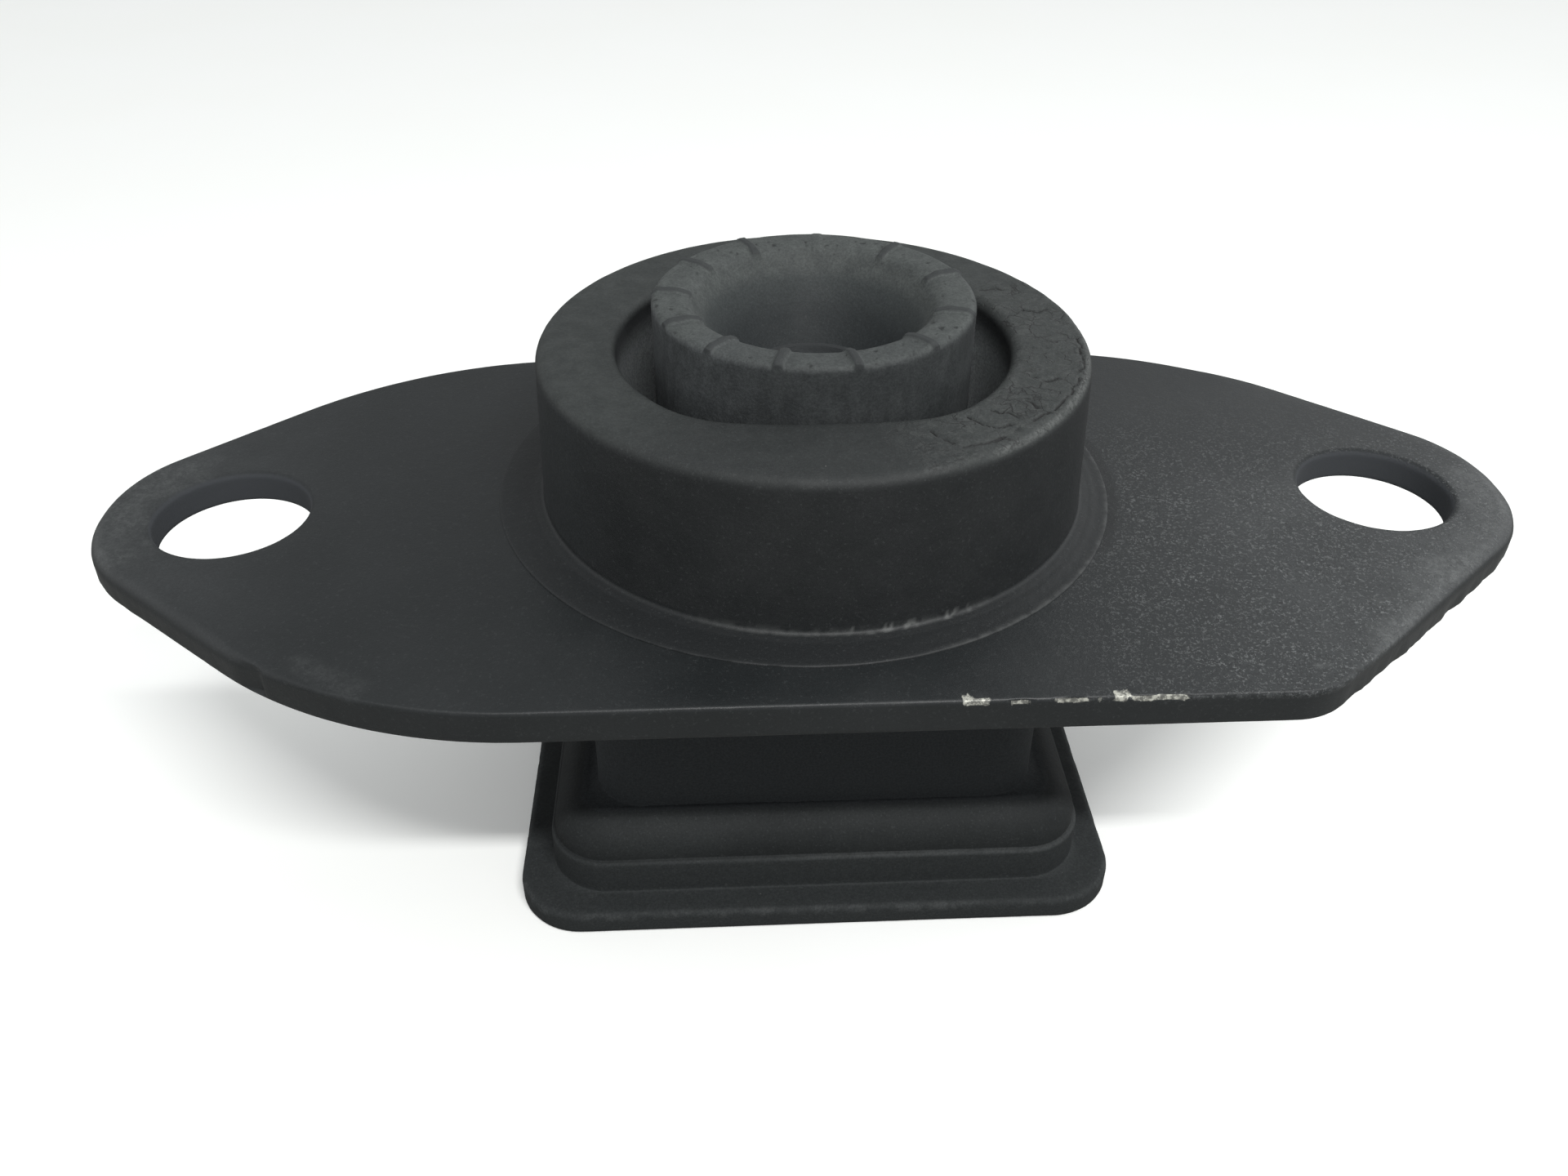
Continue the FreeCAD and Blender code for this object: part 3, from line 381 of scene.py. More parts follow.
def add_plate(material):
    """The stamped plate: rolled upper edge, torn lower edge, chips and scuffs."""
    margin = 2.0
    outline, outward = plate_outline(OUTLINE_STEP)
    rolled = step_up(np.abs(outline[:, 0]), 52.0, 70.0) * step_up(-outline[:, 1], -14.0, 2.0)
    rings = [(outline, outward, TOP_EDGE_ROUND + (TIP_EDGE_ROUND - TOP_EDGE_ROUND) * rolled)]
    for hole in ((-BOLT_X, BOLT_Y, BOLT_RADIUS), (BOLT_X, BOLT_Y, BOLT_RADIUS),
                 (AXIS[0], AXIS[1], CENTRE_HOLE_RADIUS)):
        rings.append((*circle_outline(*hole, OUTLINE_STEP), HOLE_EDGE_ROUND))
    walls = [wall_rows(*ring, BOTTOM_EDGE_ROUND, margin) for ring in rings]
    points, faces = [], []
    for wall in walls:
        first = sum(map(len, points))
        faces += grid_faces(*wall.shape[:2], closed_rows=False, first=first).tolist()
        points.append(wall.reshape(-1, 3))
    for row, height, spacing in ((0, PLATE_TOP, UPPER_STEP), (-1, PLATE_BOTTOM, LOWER_STEP)):
        first = sum(map(len, points))
        sheet, triangles = plate_sheet([wall[row][:, :2] for wall in walls], spacing, height)
        faces += [[first + k for k in triangle] for triangle in triangles]
        points.append(sheet)

    mesh = bmesh.new()
    vertices = [mesh.verts.new(point) for point in np.vstack(points)]
    for face in faces:
        mesh.faces.new([vertices[k] for k in face])
    bmesh.ops.remove_doubles(mesh, verts=mesh.verts, dist=0.001)
    bmesh.ops.recalc_face_normals(mesh, faces=mesh.faces)
    mesh.normal_update()
    mesh.verts.index_update()
    place = np.array([vertex.co for vertex in mesh.verts])
    normal = np.array([vertex.normal for vertex in mesh.verts])
    faces = [[vertex.index for vertex in face.verts] for face in mesh.faces]
    mesh.free()

    x, y, z = place.T
    side = 1.0 - step_up(np.abs(normal[:, 2]), 0.5, 0.9)
    upper = step_up(z, PLATE_TOP - 1.0, PLATE_TOP - 0.2)
    right_front = step_up(x, 30.0, 60.0) * step_up(-y, -14.0, 6.0)
    rough = step_up(x, 18.0, 46.0) * step_up(-y, -30.0, 8.0)

    # Gentle waves from the stamping, grain where the coat is rough, and a torn
    # lower half of the side, worst along the right front diagonal.
    height = 0.05 * noise(place, 22.0, 11) * upper
    height += (0.006 + 0.009 * rough * upper) * layered_noise(place, 1.3, 12)
    lower = step_up(PLATE_TOP - z, 1.0, 3.2)
    from_bolt = np.hypot(np.abs(x) - BOLT_X, y - BOLT_Y) - BOLT_RADIUS
    diagonal = window(x, 52.0, 86.0, 4.0) * step_up(-y, -2.0, 6.0)
    ragged = side * (from_bolt > 1.0) * (0.02 + lower * (0.05 + 0.07 * diagonal))
    height += ragged * (layered_noise(place * (1, 1, 0.35), 2.2, 13) - 0.35)
    height += side * (0.4 * step_up(x, 52.0, 66.0) * (from_bolt > 2.0) - 0.05)
    # A shallow step on the left front edge.
    burr = window(x, -64.2, -60.6, 0.5) * side * step_up(-y, 20.0, 28.0)
    height -= 0.45 * burr * step_up(x, -64.2, -60.6)

    punched = side * (np.abs(from_bolt) < 0.7)
    # Round the left tip the coat is lighter: partly wear, partly painted light from the left.
    worn_and_lit_tip = 0.9 * step_up(-x, 56.0, 80.0)
    from_axis = np.hypot(x - AXIS[0], y - AXIS[1])
    bearing = np.degrees(np.arctan2(y - AXIS[1], x - AXIS[0]))
    # A darker band on the plate just outside the skirt's edge, on the right.
    skirt_edge_dark_band = window(from_axis, 37.4, 38.5, 0.6) * angle_window(bearing, -24.0, 26.0, 8.0)
    chip = np.zeros(len(place))
    from_edge = y + PLATE_HALF_DEPTH
    for start, end, reach in EDGE_CHIPS:
        wander = 0.4 * layered_noise(place, 1.6, 14, 2)
        across = 1.0 - step_up(from_edge + wander * reach, reach * 0.7, reach * 1.2)
        chip = np.maximum(chip, window(x + wander, start, end, 0.3) * across
                          * step_up(z, PLATE_TOP - 0.9, PLATE_TOP - 0.4))
    height -= 0.16 * chip * (0.7 + 0.5 * noise(place, 1.1, 15))
    scuff = 0.0
    for route, reach, strength in SCUFFS:
        away = line_distance(x, y, route) + 0.3 * reach * layered_noise(place, 2.4, 16)
        scuff = np.maximum(scuff, strength * (1.0 - step_up(away, 0.0, reach)))
    place = place + normal * height[:, None]
    place[:, 2] = np.minimum(place[:, 2], PLATE_TOP)
    place[:, 0] = np.clip(place[:, 0], PLATE_LOW[0], PLATE_HIGH[0])
    place[:, 1] = np.clip(place[:, 1], PLATE_LOW[1], PLATE_HIGH[1])
    masks = {"chip": chip, "coarse": rough * upper, "edge": side * upper * step_up(x, 10.0, 50.0),
             "pale": np.maximum(right_front, worn_and_lit_tip) * upper, "scuff": scuff * upper,
             "punched": punched, "skirt_edge_dark_band": skirt_edge_dark_band * upper,
             "mouth": 1.0 - step_up(np.abs(from_bolt), 0.3, 1.0)}
    add_piece("plate_stamping", place, faces, material, ["mounting_plate"], masks)


def opening_radius(angles, radius, flat):
    """A round opening cut off by two flats, with softened corners."""
    flats = flat / np.maximum(np.abs(np.sin(angles)), 1e-3)
    soft = 16.0
    return (radius ** -soft + np.minimum(flats, 3 * radius) ** -soft) ** (-1.0 / soft)


# Cracks in the ring's upper face, as broken lines in x, y.
RING_CRACKS = (
    ((10.2, -17.6), (11.6, -19.0), (12.4, -20.4), (13.2, -21.2)),
    ((14.0, -21.8), (16.6, -20.8), (18.2, -20.0), (20.6, -18.0), (22.6, -16.2), (24.4, -14.4)),
    ((25.0, -14.0), (26.6, -12.0), (28.2, -9.6), (29.4, -7.0)),
    ((30.0, -5.4), (30.9, -2.6), (31.4, 0.6), (31.6, 3.4)),
    ((15.4, -15.2), (16.4, -17.0), (18.2, -17.7), (19.9, -17.2)),
    ((17.4, -13.8), (18.6, -14.6), (19.8, -14.4), (20.8, -15.6)),
    ((21.6, -11.8), (22.8, -12.4), (23.4, -13.6)),
    ((24.4, -6.2), (25.6, -7.4), (27.0, -7.0)),
    ((25.6, 0.8), (26.6, -0.2), (27.6, 0.6)),
    ((26.4, 11.6), (28.0, 10.6), (29.6, 11.4)),
    ((22.0, 17.4), (23.8, 18.2), (25.2, 17.6)),
)

# A plain raised ring left by the mould: x, y and radius.
MOULD_MARK = (28.0, 5.0, 2.6)


def add_ring(material):
    """The rubber stop ring: worn and cracked on the right, with a low bead and skirt."""
    corners = [
        (OPENING_RADIUS, PLATE_BOTTOM, 0.0), (CENTRE_HOLE_RADIUS, PLATE_BOTTOM, 0.0),
        (CENTRE_HOLE_RADIUS, PLATE_TOP, 0.0), (SKIRT_RADIUS, PLATE_TOP, 0.0),
        (SKIRT_RADIUS, PLATE_TOP + SKIRT_EDGE_HEIGHT, 0.25),
        (BEAD_RADIUS, PLATE_TOP + SKIRT_HEIGHT, 2.0),
        (RING_FOOT_RADIUS, PLATE_TOP + BEAD_HEIGHT, 0.5),
        (RING_TOP_RADIUS, RING_TOP, RING_TOP_ROUND), (OPENING_RADIUS, RING_TOP, RING_MOUTH_ROUND)]
    profile = rounded(corners, (1.3, 2.0, 2.6, 0.3, 0.3, 0.2, 0.55, 0.3, 1.1))
    radius, height, turn = swept(profile, RING_SPOKES)
    degrees = np.degrees(turn)

    # The inner wall follows the flats, and the upper face eases into it.
    inner = np.where(height < RING_TOP - RING_MOUTH_ROUND - 0.01, radius < OPENING_RADIUS + 0.1,
                     1.0 - step_up(radius, OPENING_RADIUS + RING_MOUTH_ROUND, 29.0))
    radius = radius - inner * (OPENING_RADIUS - opening_radius(turn, OPENING_RADIUS, OPENING_FLAT))
    # Painted highlight: a light line along the skirt's edge on the right.
    lip = window(radius, SKIRT_RADIUS - 0.4, SKIRT_RADIUS, 0.2) * angle_window(
        degrees, -62.0, 16.0, 16.0) * (height > PLATE_TOP + 0.1) * (height < PLATE_TOP + 1.0)
    skirt = step_up(radius, BEAD_RADIUS, SKIRT_RADIUS - 1.0) * (height < PLATE_TOP + BEAD_HEIGHT)
    radius = radius - skirt * SKIRT_OFFSET * np.cos(turn)
    # Behind, the skirt is squeezed in to end at the plate's back edge.
    edge = SKIRT_BACK / np.maximum(np.sin(turn), 1e-3)
    foot = RING_FOOT_RADIUS - 0.05
    squeeze = np.clip((edge - foot) / (SKIRT_RADIUS + SKIRT_OFFSET - foot), 0.02, 1.0)
    outer = (radius > foot) & (np.sin(turn) > 0) & (squeeze < 1.0)
    radius = np.where(outer, foot + (radius - foot) * squeeze, radius)

    grid = about_axis(radius, height, turn)
    normal = outward_normals(grid, height > RING_TOP - 0.01)
    field = field_over(grid)

    def near_top(low, high):
        return step_up(height, RING_TOP - low, RING_TOP - high)

    top = near_top(0.9, 0.1)
    right = angle_window(degrees, -66.0, 24.0, 14.0)
    x, y = grid[..., 0], grid[..., 1]
    shift = -0.03 + 0.03 * field(16.0, 21) + 0.02 * field(2.2, 22, 3)
    rim = window(radius, 32.35, 32.7, 0.25) * near_top(1.2, 0.6)
    worn = rim * angle_window(degrees, -64.0, 12.0, 12.0) * step_up(field(4.0, 23, 3), -0.6, 0.5)
    shift -= worn * (0.04 + 0.04 * field(0.9, 24, 2))
    mark_x, mark_y, mark_radius = MOULD_MARK
    away = np.hypot(x - mark_x, y - mark_y)
    shift += 0.13 * top * (np.exp(-((away - mark_radius) / 0.3) ** 2)
                           + 0.4 * (away < mark_radius - 0.4))
    shift += 0.07 * top * right * step_up(field(3.4, 25, 2), 0.15, 0.6)
    crack = np.zeros(height.shape)
    wander_x, wander_y = 0.35 * field(1.3, 26, 2), 0.35 * field(1.3, 27, 2)
    for route in RING_CRACKS:
        away = line_distance(x + wander_x, y + wander_y, route)
        crack = np.maximum(crack, np.exp(-(away / 0.2) ** 2))
    crack *= near_top(1.2, 0.8) * step_up(field(1.7, 28, 2), -0.75, -0.35)
    shift -= 0.28 * crack
    # Flash in the crease at the wall's foot, in small beads at the front.
    crease = window(radius, RING_FOOT_RADIUS - 0.05, RING_FOOT_RADIUS + 0.3, 0.2) * (
        height > PLATE_TOP + 0.7) * (height < PLATE_TOP + 1.3)
    beads = step_up(field(0.6, 29, 2), 0.1, 0.6)
    bright = 0.6 * crease * angle_window(degrees, -86.0, -66.0, 6.0) * beads
    flash = 0.7 * crease * angle_window(degrees, -108.0, -64.0, 14.0)
    shift += 0.06 * bright
    free = (height > PLATE_TOP + 0.2) | (radius < CENTRE_HOLE_RADIUS)
    grid = grid + normal * (shift * free)[..., None]
    grid[..., 2] = np.clip(grid[..., 2], PLATE_BOTTOM, RING_TOP)
    # Painted light: the opening's inner wall is lightened, most on the right, to lift the shade in
    # the gap round the hub.
    inside = (radius < OPENING_RADIUS + 0.6) * (1.0 - near_top(7.0, 1.5)) * (
        0.75 + 0.25 * angle_window(degrees, -60.0, 60.0, 40.0))
    # Painted light: the outer wall on the left is lightened, as if lit from the left.
    left = angle_window(degrees, 178.0, 206.0, 26.0) * (
        height < RING_TOP - 1.0) * (height > PLATE_TOP + 1.5)
    # Dust lightens the upper face; at the front it is cut back, which is painted shade.
    top_dust_and_front_shade = near_top(1.4, 0.3) * (1.0 - 0.6 * angle_window(degrees, -118.0, -78.0, 26.0))
    masks = {"worn": worn, "crack": crack, "top_dust_and_front_shade": top_dust_and_front_shade, "inside": inside, "left": left,
             "skirt": (height < PLATE_TOP + 1.5) & (radius > RING_FOOT_RADIUS - 0.1),
             "aged": top * right, "bright": bright, "lip": np.maximum(lip, flash)}
    add_piece("ring_moulding", grid.reshape(-1, 3), grid_faces(*height.shape), material,
              ["stop_ring_rubber"], masks)


def add_hub(material):
    """The rubber spring: ribbed hub and funnel, on the block from the CAD node."""
    cut = WAIST_TOP - 2.0  # the block ends here, and the detailed hub starts just below
    start = cut - 0.05
    core_top = HUB_TOP - 1.7
    shown = rounded([
        (WAIST_RADIUS, start, 0.0), (WAIST_RADIUS, WAIST_TOP, 3.0), (HUB_RADIUS, HEAD_BOTTOM, 3.0),
        (HUB_RADIUS, HUB_TOP, HUB_EDGE_ROUND), (FUNNEL_RADIUS, HUB_TOP, LIP_ROUND),
        (*FUNNEL_BOW, 9.0), (THROAT_RADIUS, THROAT_HEIGHT, 0.0)],
        (0.6, 0.5, 0.5, 0.22, 0.26, 0.5, 0.5), closed=False)
    hidden = np.array([(CORE_THROAT_RADIUS, THROAT_HEIGHT), (CORE_MOUTH_RADIUS, core_top),
                       (CORE_HEAD_RADIUS, core_top), (CORE_HEAD_RADIUS, HEAD_BOTTOM),
                       (CORE_WAIST_RADIUS, WAIST_TOP), (CORE_WAIST_RADIUS, start)])
    profile = np.vstack([shown, hidden])
    radius, height, turn = swept(profile, HUB_SPOKES)
    grid = about_axis(radius, height, turn)
    normal = outward_normals(grid, height > HUB_TOP - 0.01)
    field = field_over(grid)

    free = (np.arange(len(profile)) < len(shown) - 1)[:, None] & (height > cut + 0.4)
    shift = -0.02 + 0.05 * field(14.0, 41) + 0.015 * field(1.6, 42, 3)
    pit = step_up(field(0.8, 45, 2), 0.6, 0.85) * step_up(height, HUB_TOP - 0.5, HUB_TOP - 0.1)
    shift -= 0.14 * pit
    rib = np.zeros(height.shape)
    for rib_angle in RIB_ANGLES:
        away = (turn - radians(rib_angle) + pi) % (2 * pi) - pi
        across = np.abs(away) * radius + 0.1 * field(1.5, 43)
        left = 0.3 if rib_angle == WORN_RIB else 1.0
        away = step_up(across, RIB_WIDTH / 2 - 0.25, RIB_WIDTH / 2 + 0.15)
        rib = np.maximum(rib, left * (1.0 - away))
    rib *= step_up(radius, RIB_INNER - 0.3, RIB_INNER + 0.3)
    rib *= step_up(height, HUB_TOP - 1.2, HUB_TOP - 0.5)
    grid = grid + normal * (shift * free)[..., None]
    crest = HUB_TOP + RIB_HEIGHT + 0.05 * field(1.0, 44)
    crest -= 0.5 * (1.0 - step_up(radius, RIB_INNER, 16.4))
    crest -= 0.35 * step_up(radius, HUB_RADIUS - 0.9, HUB_RADIUS)
    grid[..., 2] += rib * np.maximum(crest - grid[..., 2], 0.0)
    grid[..., 2] = np.minimum(grid[..., 2], HUB_TOP + RIB_HEIGHT)

    block = bmesh.new()
    block.from_mesh(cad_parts["main_spring_rubber"].data)
    bmesh.ops.scale(block, vec=(1 / MM,) * 3, verts=block.verts)
    bmesh.ops.bisect_plane(block, geom=block.verts[:] + block.edges[:] + block.faces[:], dist=1e-4,
                           plane_co=(0.0, 0.0, cut), plane_no=(0.0, 0.0, 1.0), clear_outer=True)
    rim = [edge for edge in block.edges
           if edge.is_boundary and min(vertex.co.z for vertex in edge.verts) > cut - 0.01]
    bmesh.ops.bridge_loops(block, edges=rim)
    block.verts.index_update()
    points = grid.reshape(-1, 3)
    block_points = [tuple(vertex.co) for vertex in block.verts]
    faces = grid_faces(*height.shape).tolist()
    faces += [[vertex.index + len(points) for vertex in face.verts] for face in block.faces]
    block.free()
    blank = np.zeros(len(block_points))
    lining = (radius < FUNNEL_RADIUS + 0.5) & (height < HUB_TOP - 0.05)
    lip = (radius < HUB_RADIUS - 1.2) & (height > THROAT_HEIGHT)
    front = angle_window(np.degrees(turn), -125.0, -62.0, 26.0)
    top = np.maximum(step_up(height, HUB_TOP - 0.8, HUB_TOP - 0.1), lip) * (1.0 - 0.4 * front)
    masks = {"rib": rib, "pit": pit, "top": top,
             # Painted shade: the funnel's lining darkens towards the throat.
             "depth": lining * (1.0 - step_up(height, THROAT_HEIGHT, HUB_TOP - 1.0)),
             # Painted light: the hub below its head, and the block further down, are lightened to
             # lift the shade deep in the gap.
             "low": 1.0 - step_up(height, HEAD_BOTTOM - 2.0, HEAD_BOTTOM + 7.0),
             # Painted light: the hub's left side is lightened, as if lit from the left.
             "left": angle_window(np.degrees(turn), 150.0, 222.0, 30.0)}
    masks = {name: np.concatenate([values.ravel(), blank]) for name, values in masks.items()}
    masks["low"][len(points):] = 0.4 * step_up(np.array(block_points)[:, 2], 26.0, 34.0)
    add_piece("spring_moulding", np.vstack([points, block_points]), faces, material,
              ["main_spring_rubber"], masks)


def rounded_rectangle(half_width, half_depth, corner):
    """Points round a rectangle about the axis: the same number for any size."""
    arcs = []
    for index, (x, y) in enumerate(((1, -1), (1, 1), (-1, 1), (-1, -1))):
        centre = np.array([x * (half_width - corner), y * (half_depth - corner)])
        angles = (index - 1) * pi / 2 + np.linspace(0.0, pi / 2, CORNER_POINTS)
        arcs.append(centre + corner * np.column_stack([np.cos(angles), np.sin(angles)]))
    points = []
    for index, arc in enumerate(arcs):
        here, after = arc[-1], arcs[(index + 1) % 4][0]
        count = SIDE_PARTS[index % 2]
        points += [*arc, *(here + (after - here) * k / count for k in range(1, count))]
    return np.array(points)


def add_housing(material):
    """The drawn housing: flange, band, shoulder, neck and pierced roof."""
    rows = []

    def inset(size, by):
        return size[0] - by, size[1] - by, max(size[2] - by, 0.4)

    def wall(size, low, high, step):
        count = max(1, ceil(abs(high - low) / step))
        rows.extend((size, low + (high - low) * k / count) for k in range(count + 1))

    def outer_round(size, radius, top, parts=6):
        """A quarter turn that ends in a level face at the top."""
        for angle in np.radians(np.linspace(0, 90, parts + 1)[1:]):
            rows.append((inset(size, radius - radius * cos(angle)),
                         top - radius + radius * sin(angle)))

    def root(size, level):
        """The small curve where a wall rises from a level face."""
        for angle in np.radians(np.linspace(0, 90, 4)[1:]):
            rows.append((inset(size, ROOT * sin(angle) - ROOT),
                         level + ROOT - ROOT * cos(angle)))

    roof = PLATE_BOTTOM
    wall(FLANGE, 0.3, GAUGE - FLANGE_ROUND, 0.6)
    outer_round(FLANGE, FLANGE_ROUND, GAUGE)
    for by in np.linspace(1.6, FLANGE[0] - BAND[0] - ROOT - 0.2, 4):
        rows.append((inset(FLANGE, by), GAUGE))
    root(BAND, GAUGE)
    wall(BAND, GAUGE + ROOT + 0.5, BAND_TOP - EDGE_ROUND, 0.6)
    outer_round(BAND, EDGE_ROUND, BAND_TOP, 5)
    rows.append((BOX, BAND_TOP))
    wall(BOX, BAND_TOP + 0.15, BOX_TOP - SHOULDER_ROUND, 0.4)
    outer_round(BOX, SHOULDER_ROUND, BOX_TOP, 14)
    root(NECK, BOX_TOP)
    wall(NECK, BOX_TOP + ROOT + 0.5, roof - EDGE_ROUND, 0.8)
    outer_round(NECK, EDGE_ROUND, roof, 4)
    rows += [("mouth", roof), ("mouth", roof - GAUGE)]
    # The inside, from the roof down to the open foot.
    inner_neck, inner_box, inner_round = inset(NECK, GAUGE), inset(BOX, GAUGE), 1.5
    wall(inner_neck, roof - GAUGE, BOX_TOP - GAUGE + 0.8, 1.6)
    out = inner_box[0] - inner_neck[0] - inner_round
    for angle in np.radians(np.linspace(0, 90, 5)):
        rows.append((inset(inner_neck, -out - inner_round * sin(angle)),
                     BOX_TOP - GAUGE - inner_round + inner_round * cos(angle)))
    wall(inner_box, BOX_TOP - GAUGE - inner_round - 0.4, 0.0, 1.5)
    for by in (GAUGE + 3.0, 2.5, 0.3):
        rows.append((inset(FLANGE, by), 0.0))

    loops = []
    for size, level in rows:
        if size == "mouth":
            base = rounded_rectangle(*inner_neck)
            spokes = np.arctan2(base[:, 1], base[:, 0])
            reach = opening_radius(spokes, ROOF_MOUTH_RADIUS, ROOF_MOUTH_FLAT)
            base = np.column_stack([np.cos(spokes), np.sin(spokes)]) * reach[:, None]
        else:
            base = rounded_rectangle(*size)
        loops.append(np.column_stack([base + AXIS[:2], np.full(len(base), level)]))
    grid = np.array(loops)
    height = grid[..., 2]
    normal = outward_normals(grid, (height > GAUGE - 0.01) & (height < GAUGE + 0.01))
    field = field_over(grid)
    free = (height > 0.1) & (height < roof - 0.3)
    shift = -0.03 + 0.035 * field(15.0, 61) + 0.012 * field(1.4, 62, 3)
    shift += 0.012 * field(1.6, 63, 1, (1, 1, 0.08)) * (height > GAUGE + 1)
    edge = window(height, GAUGE - 1.2, GAUGE - 0.1, 0.3)
    shift -= 0.05 * edge * step_up(field(1.6, 64, 2), 0.1, 0.6)
    grid = grid + normal * (shift * free)[..., None]
    # Painted highlight along the band's upper edge, fading out to the left.
    crease = window(height, BAND_TOP - 0.35, BAND_TOP - 0.05, 0.15)
    # Painted light: the band and flange below the crease are lightened, standing in for light from
    # the floor.
    masks = {"low": 1.0 - step_up(height, BAND_TOP - 0.2, BAND_TOP),
             "crease": crease * step_up(grid[..., 0], -28.0, 14.0),
             # Painted light: the neck, in the plate's shadow, is lightened.
             "neck": step_up(height, BOX_TOP - 0.15, BOX_TOP),
             "joint": window(height, GAUGE + 0.3, GAUGE + 0.6, 0.15),
             "rim": window(height, GAUGE - 0.9, GAUGE - 0.2, 0.25),
             "shoulder": window(height, BOX_TOP - 1.2, BOX_TOP + 2.0, 0.9)}
    add_piece("housing_pressing", grid.reshape(-1, 3), grid_faces(*height.shape), material,
              ["lower_housing"], masks)


# Materials

class Looks:
    """A material's nodes, with short calls. Sizes are in millimetres."""

    def __init__(self, name):
        self.material = bpy.data.materials.new(name)
        self.material.use_nodes = True
        self.nodes = self.material.node_tree.nodes
        self.links = self.material.node_tree.links
        self.surface = self.nodes["Principled BSDF"]
        self.place = self.add("ShaderNodeTexCoord").outputs["Object"]

    def add(self, kind, **settings):
        node = self.nodes.new(kind)
        for name, value in settings.items():
            setattr(node, name, value)
        return node

    def put(self, socket, value):
        """A link from another node's output, or a constant."""
        if isinstance(value, bpy.types.NodeSocket):
            self.links.new(value, socket)
        else:
            socket.default_value = value

    def noise(self, size, detail=3.0, roughness=0.55, stretch=None, distortion=0.0):
        node = self.add("ShaderNodeTexNoise")
        place = self.place
        if stretch:
            scale = self.add("ShaderNodeVectorMath", operation="MULTIPLY")
            self.put(scale.inputs[0], place)
            scale.inputs[1].default_value = stretch
            place = scale.outputs[0]
        self.put(node.inputs["Vector"], place)
        for name, value in (("Scale", 1.0 / (size * MM)), ("Detail", detail),
                            ("Roughness", roughness), ("Distortion", distortion)):
            node.inputs[name].default_value = value
        return node.outputs["Fac"]

    def curve(self, value, low, high, start=0.0, end=1.0):
        """Start where the value is low and end where it is high, smooth between."""
        node = self.add("ShaderNodeMapRange", interpolation_type="SMOOTHSTEP")
        for index, number in enumerate((value, low, high, start, end)):
            self.put(node.inputs[index], number)
        return node.outputs[0]

    def patches(self, size, detail, roughness, low, high, start=0.0, end=1.0, **more):
        """The same curve over a noise."""
        return self.curve(self.noise(size, detail, roughness, **more), low, high, start, end)

    def clouded(self, cloud, a, b):
        """From one colour to the other, by a noise."""
        return self.blend(self.curve(cloud, 0.3, 0.75), a, b)

    def cracks(self, size, width):
        """1 along the wandering borders between cells of about a size."""
        wander = self.add("ShaderNodeTexNoise")
        self.put(wander.inputs["Vector"], self.place)
        wander.inputs["Scale"].default_value = 1.6 / (size * MM)
        bent = self.add("ShaderNodeVectorMath", operation="MULTIPLY_ADD")
        self.put(bent.inputs[0], wander.outputs["Color"])
        bent.inputs[1].default_value = (size * MM,) * 3
        self.put(bent.inputs[2], self.place)
        node = self.add("ShaderNodeTexVoronoi", feature="DISTANCE_TO_EDGE")
        self.put(node.inputs["Vector"], bent.outputs[0])
        node.inputs["Scale"].default_value = 1.0 / (size * MM)
        return self.curve(node.outputs["Distance"], 0.0, width / size, 1.0, 0.0)

    def masks(self, *names):
        nodes = [self.add("ShaderNodeAttribute", attribute_name=name) for name in names]
        return [node.outputs["Fac"] for node in nodes]

    def sum(self, a, b, operation="ADD"):
        node = self.add("ShaderNodeMath", operation=operation, use_clamp=operation != "SUBTRACT")
        self.put(node.inputs[0], a)
        self.put(node.inputs[1], b)
        return node.outputs[0]

    def times(self, product, *factors):
        for factor in factors:
            product = self.sum(product, factor, "MULTIPLY")
        return product

    def blend(self, factor, a, b):
        node = self.add("ShaderNodeMix", data_type="RGBA")
        self.put(node.inputs["Factor"], factor)
        for socket, value in zip((node.inputs[6], node.inputs[7]), (a, b)):
            self.put(socket, (*value, 1.0) if isinstance(value, tuple) else value)
        return node.outputs[2]

    def painted(self, colour, *coats):
        """Coats of (paint, factors) over a colour, as strong as the factors' product."""
        for paint, *factors in coats:
            colour = self.blend(self.times(*factors), colour, paint)
        return colour

    def grained(self, colour, strength=0.35):
        """The colour with a fine light and dark grain over it."""
        dark = self.patches(0.3, 2.0, 0.8, 0.35, 0.65, 0.0, strength)
        light = self.patches(0.42, 2.0, 0.8, 0.58, 0.72, 0.0, strength * 0.5)
        return self.painted(colour, ((0.006, 0.007, 0.0075), dark), ((0.09, 0.097, 0.097), light))

    def facing_up(self):
        """1 where the surface faces up."""
        split = self.add("ShaderNodeSeparateXYZ")
        self.put(split.inputs[0], self.add("ShaderNodeNewGeometry").outputs["Normal"])
        return self.curve(split.outputs["Z"], 0.35, 0.95)

    def finish(self, colour, roughness, bumps, metallic=0.0, specular=0.5):
        """Bumps are (height, depth in mm) pairs, from coarse to fine."""
        for name, value in (("Base Color", colour), ("Roughness", roughness),
                            ("Metallic", metallic), ("Specular IOR Level", specular)):
            self.put(self.surface.inputs[name], value)
        normal = None
        for height, depth in bumps:
            node = self.add("ShaderNodeBump")
            node.inputs["Distance"].default_value = depth * MM
            node.inputs["Strength"].default_value = 1.0
            self.put(node.inputs["Height"], height)
            if normal:
                self.put(node.inputs["Normal"], normal)
            normal = node.outputs["Normal"]
        self.put(self.surface.inputs["Normal"], normal)
        return self.material


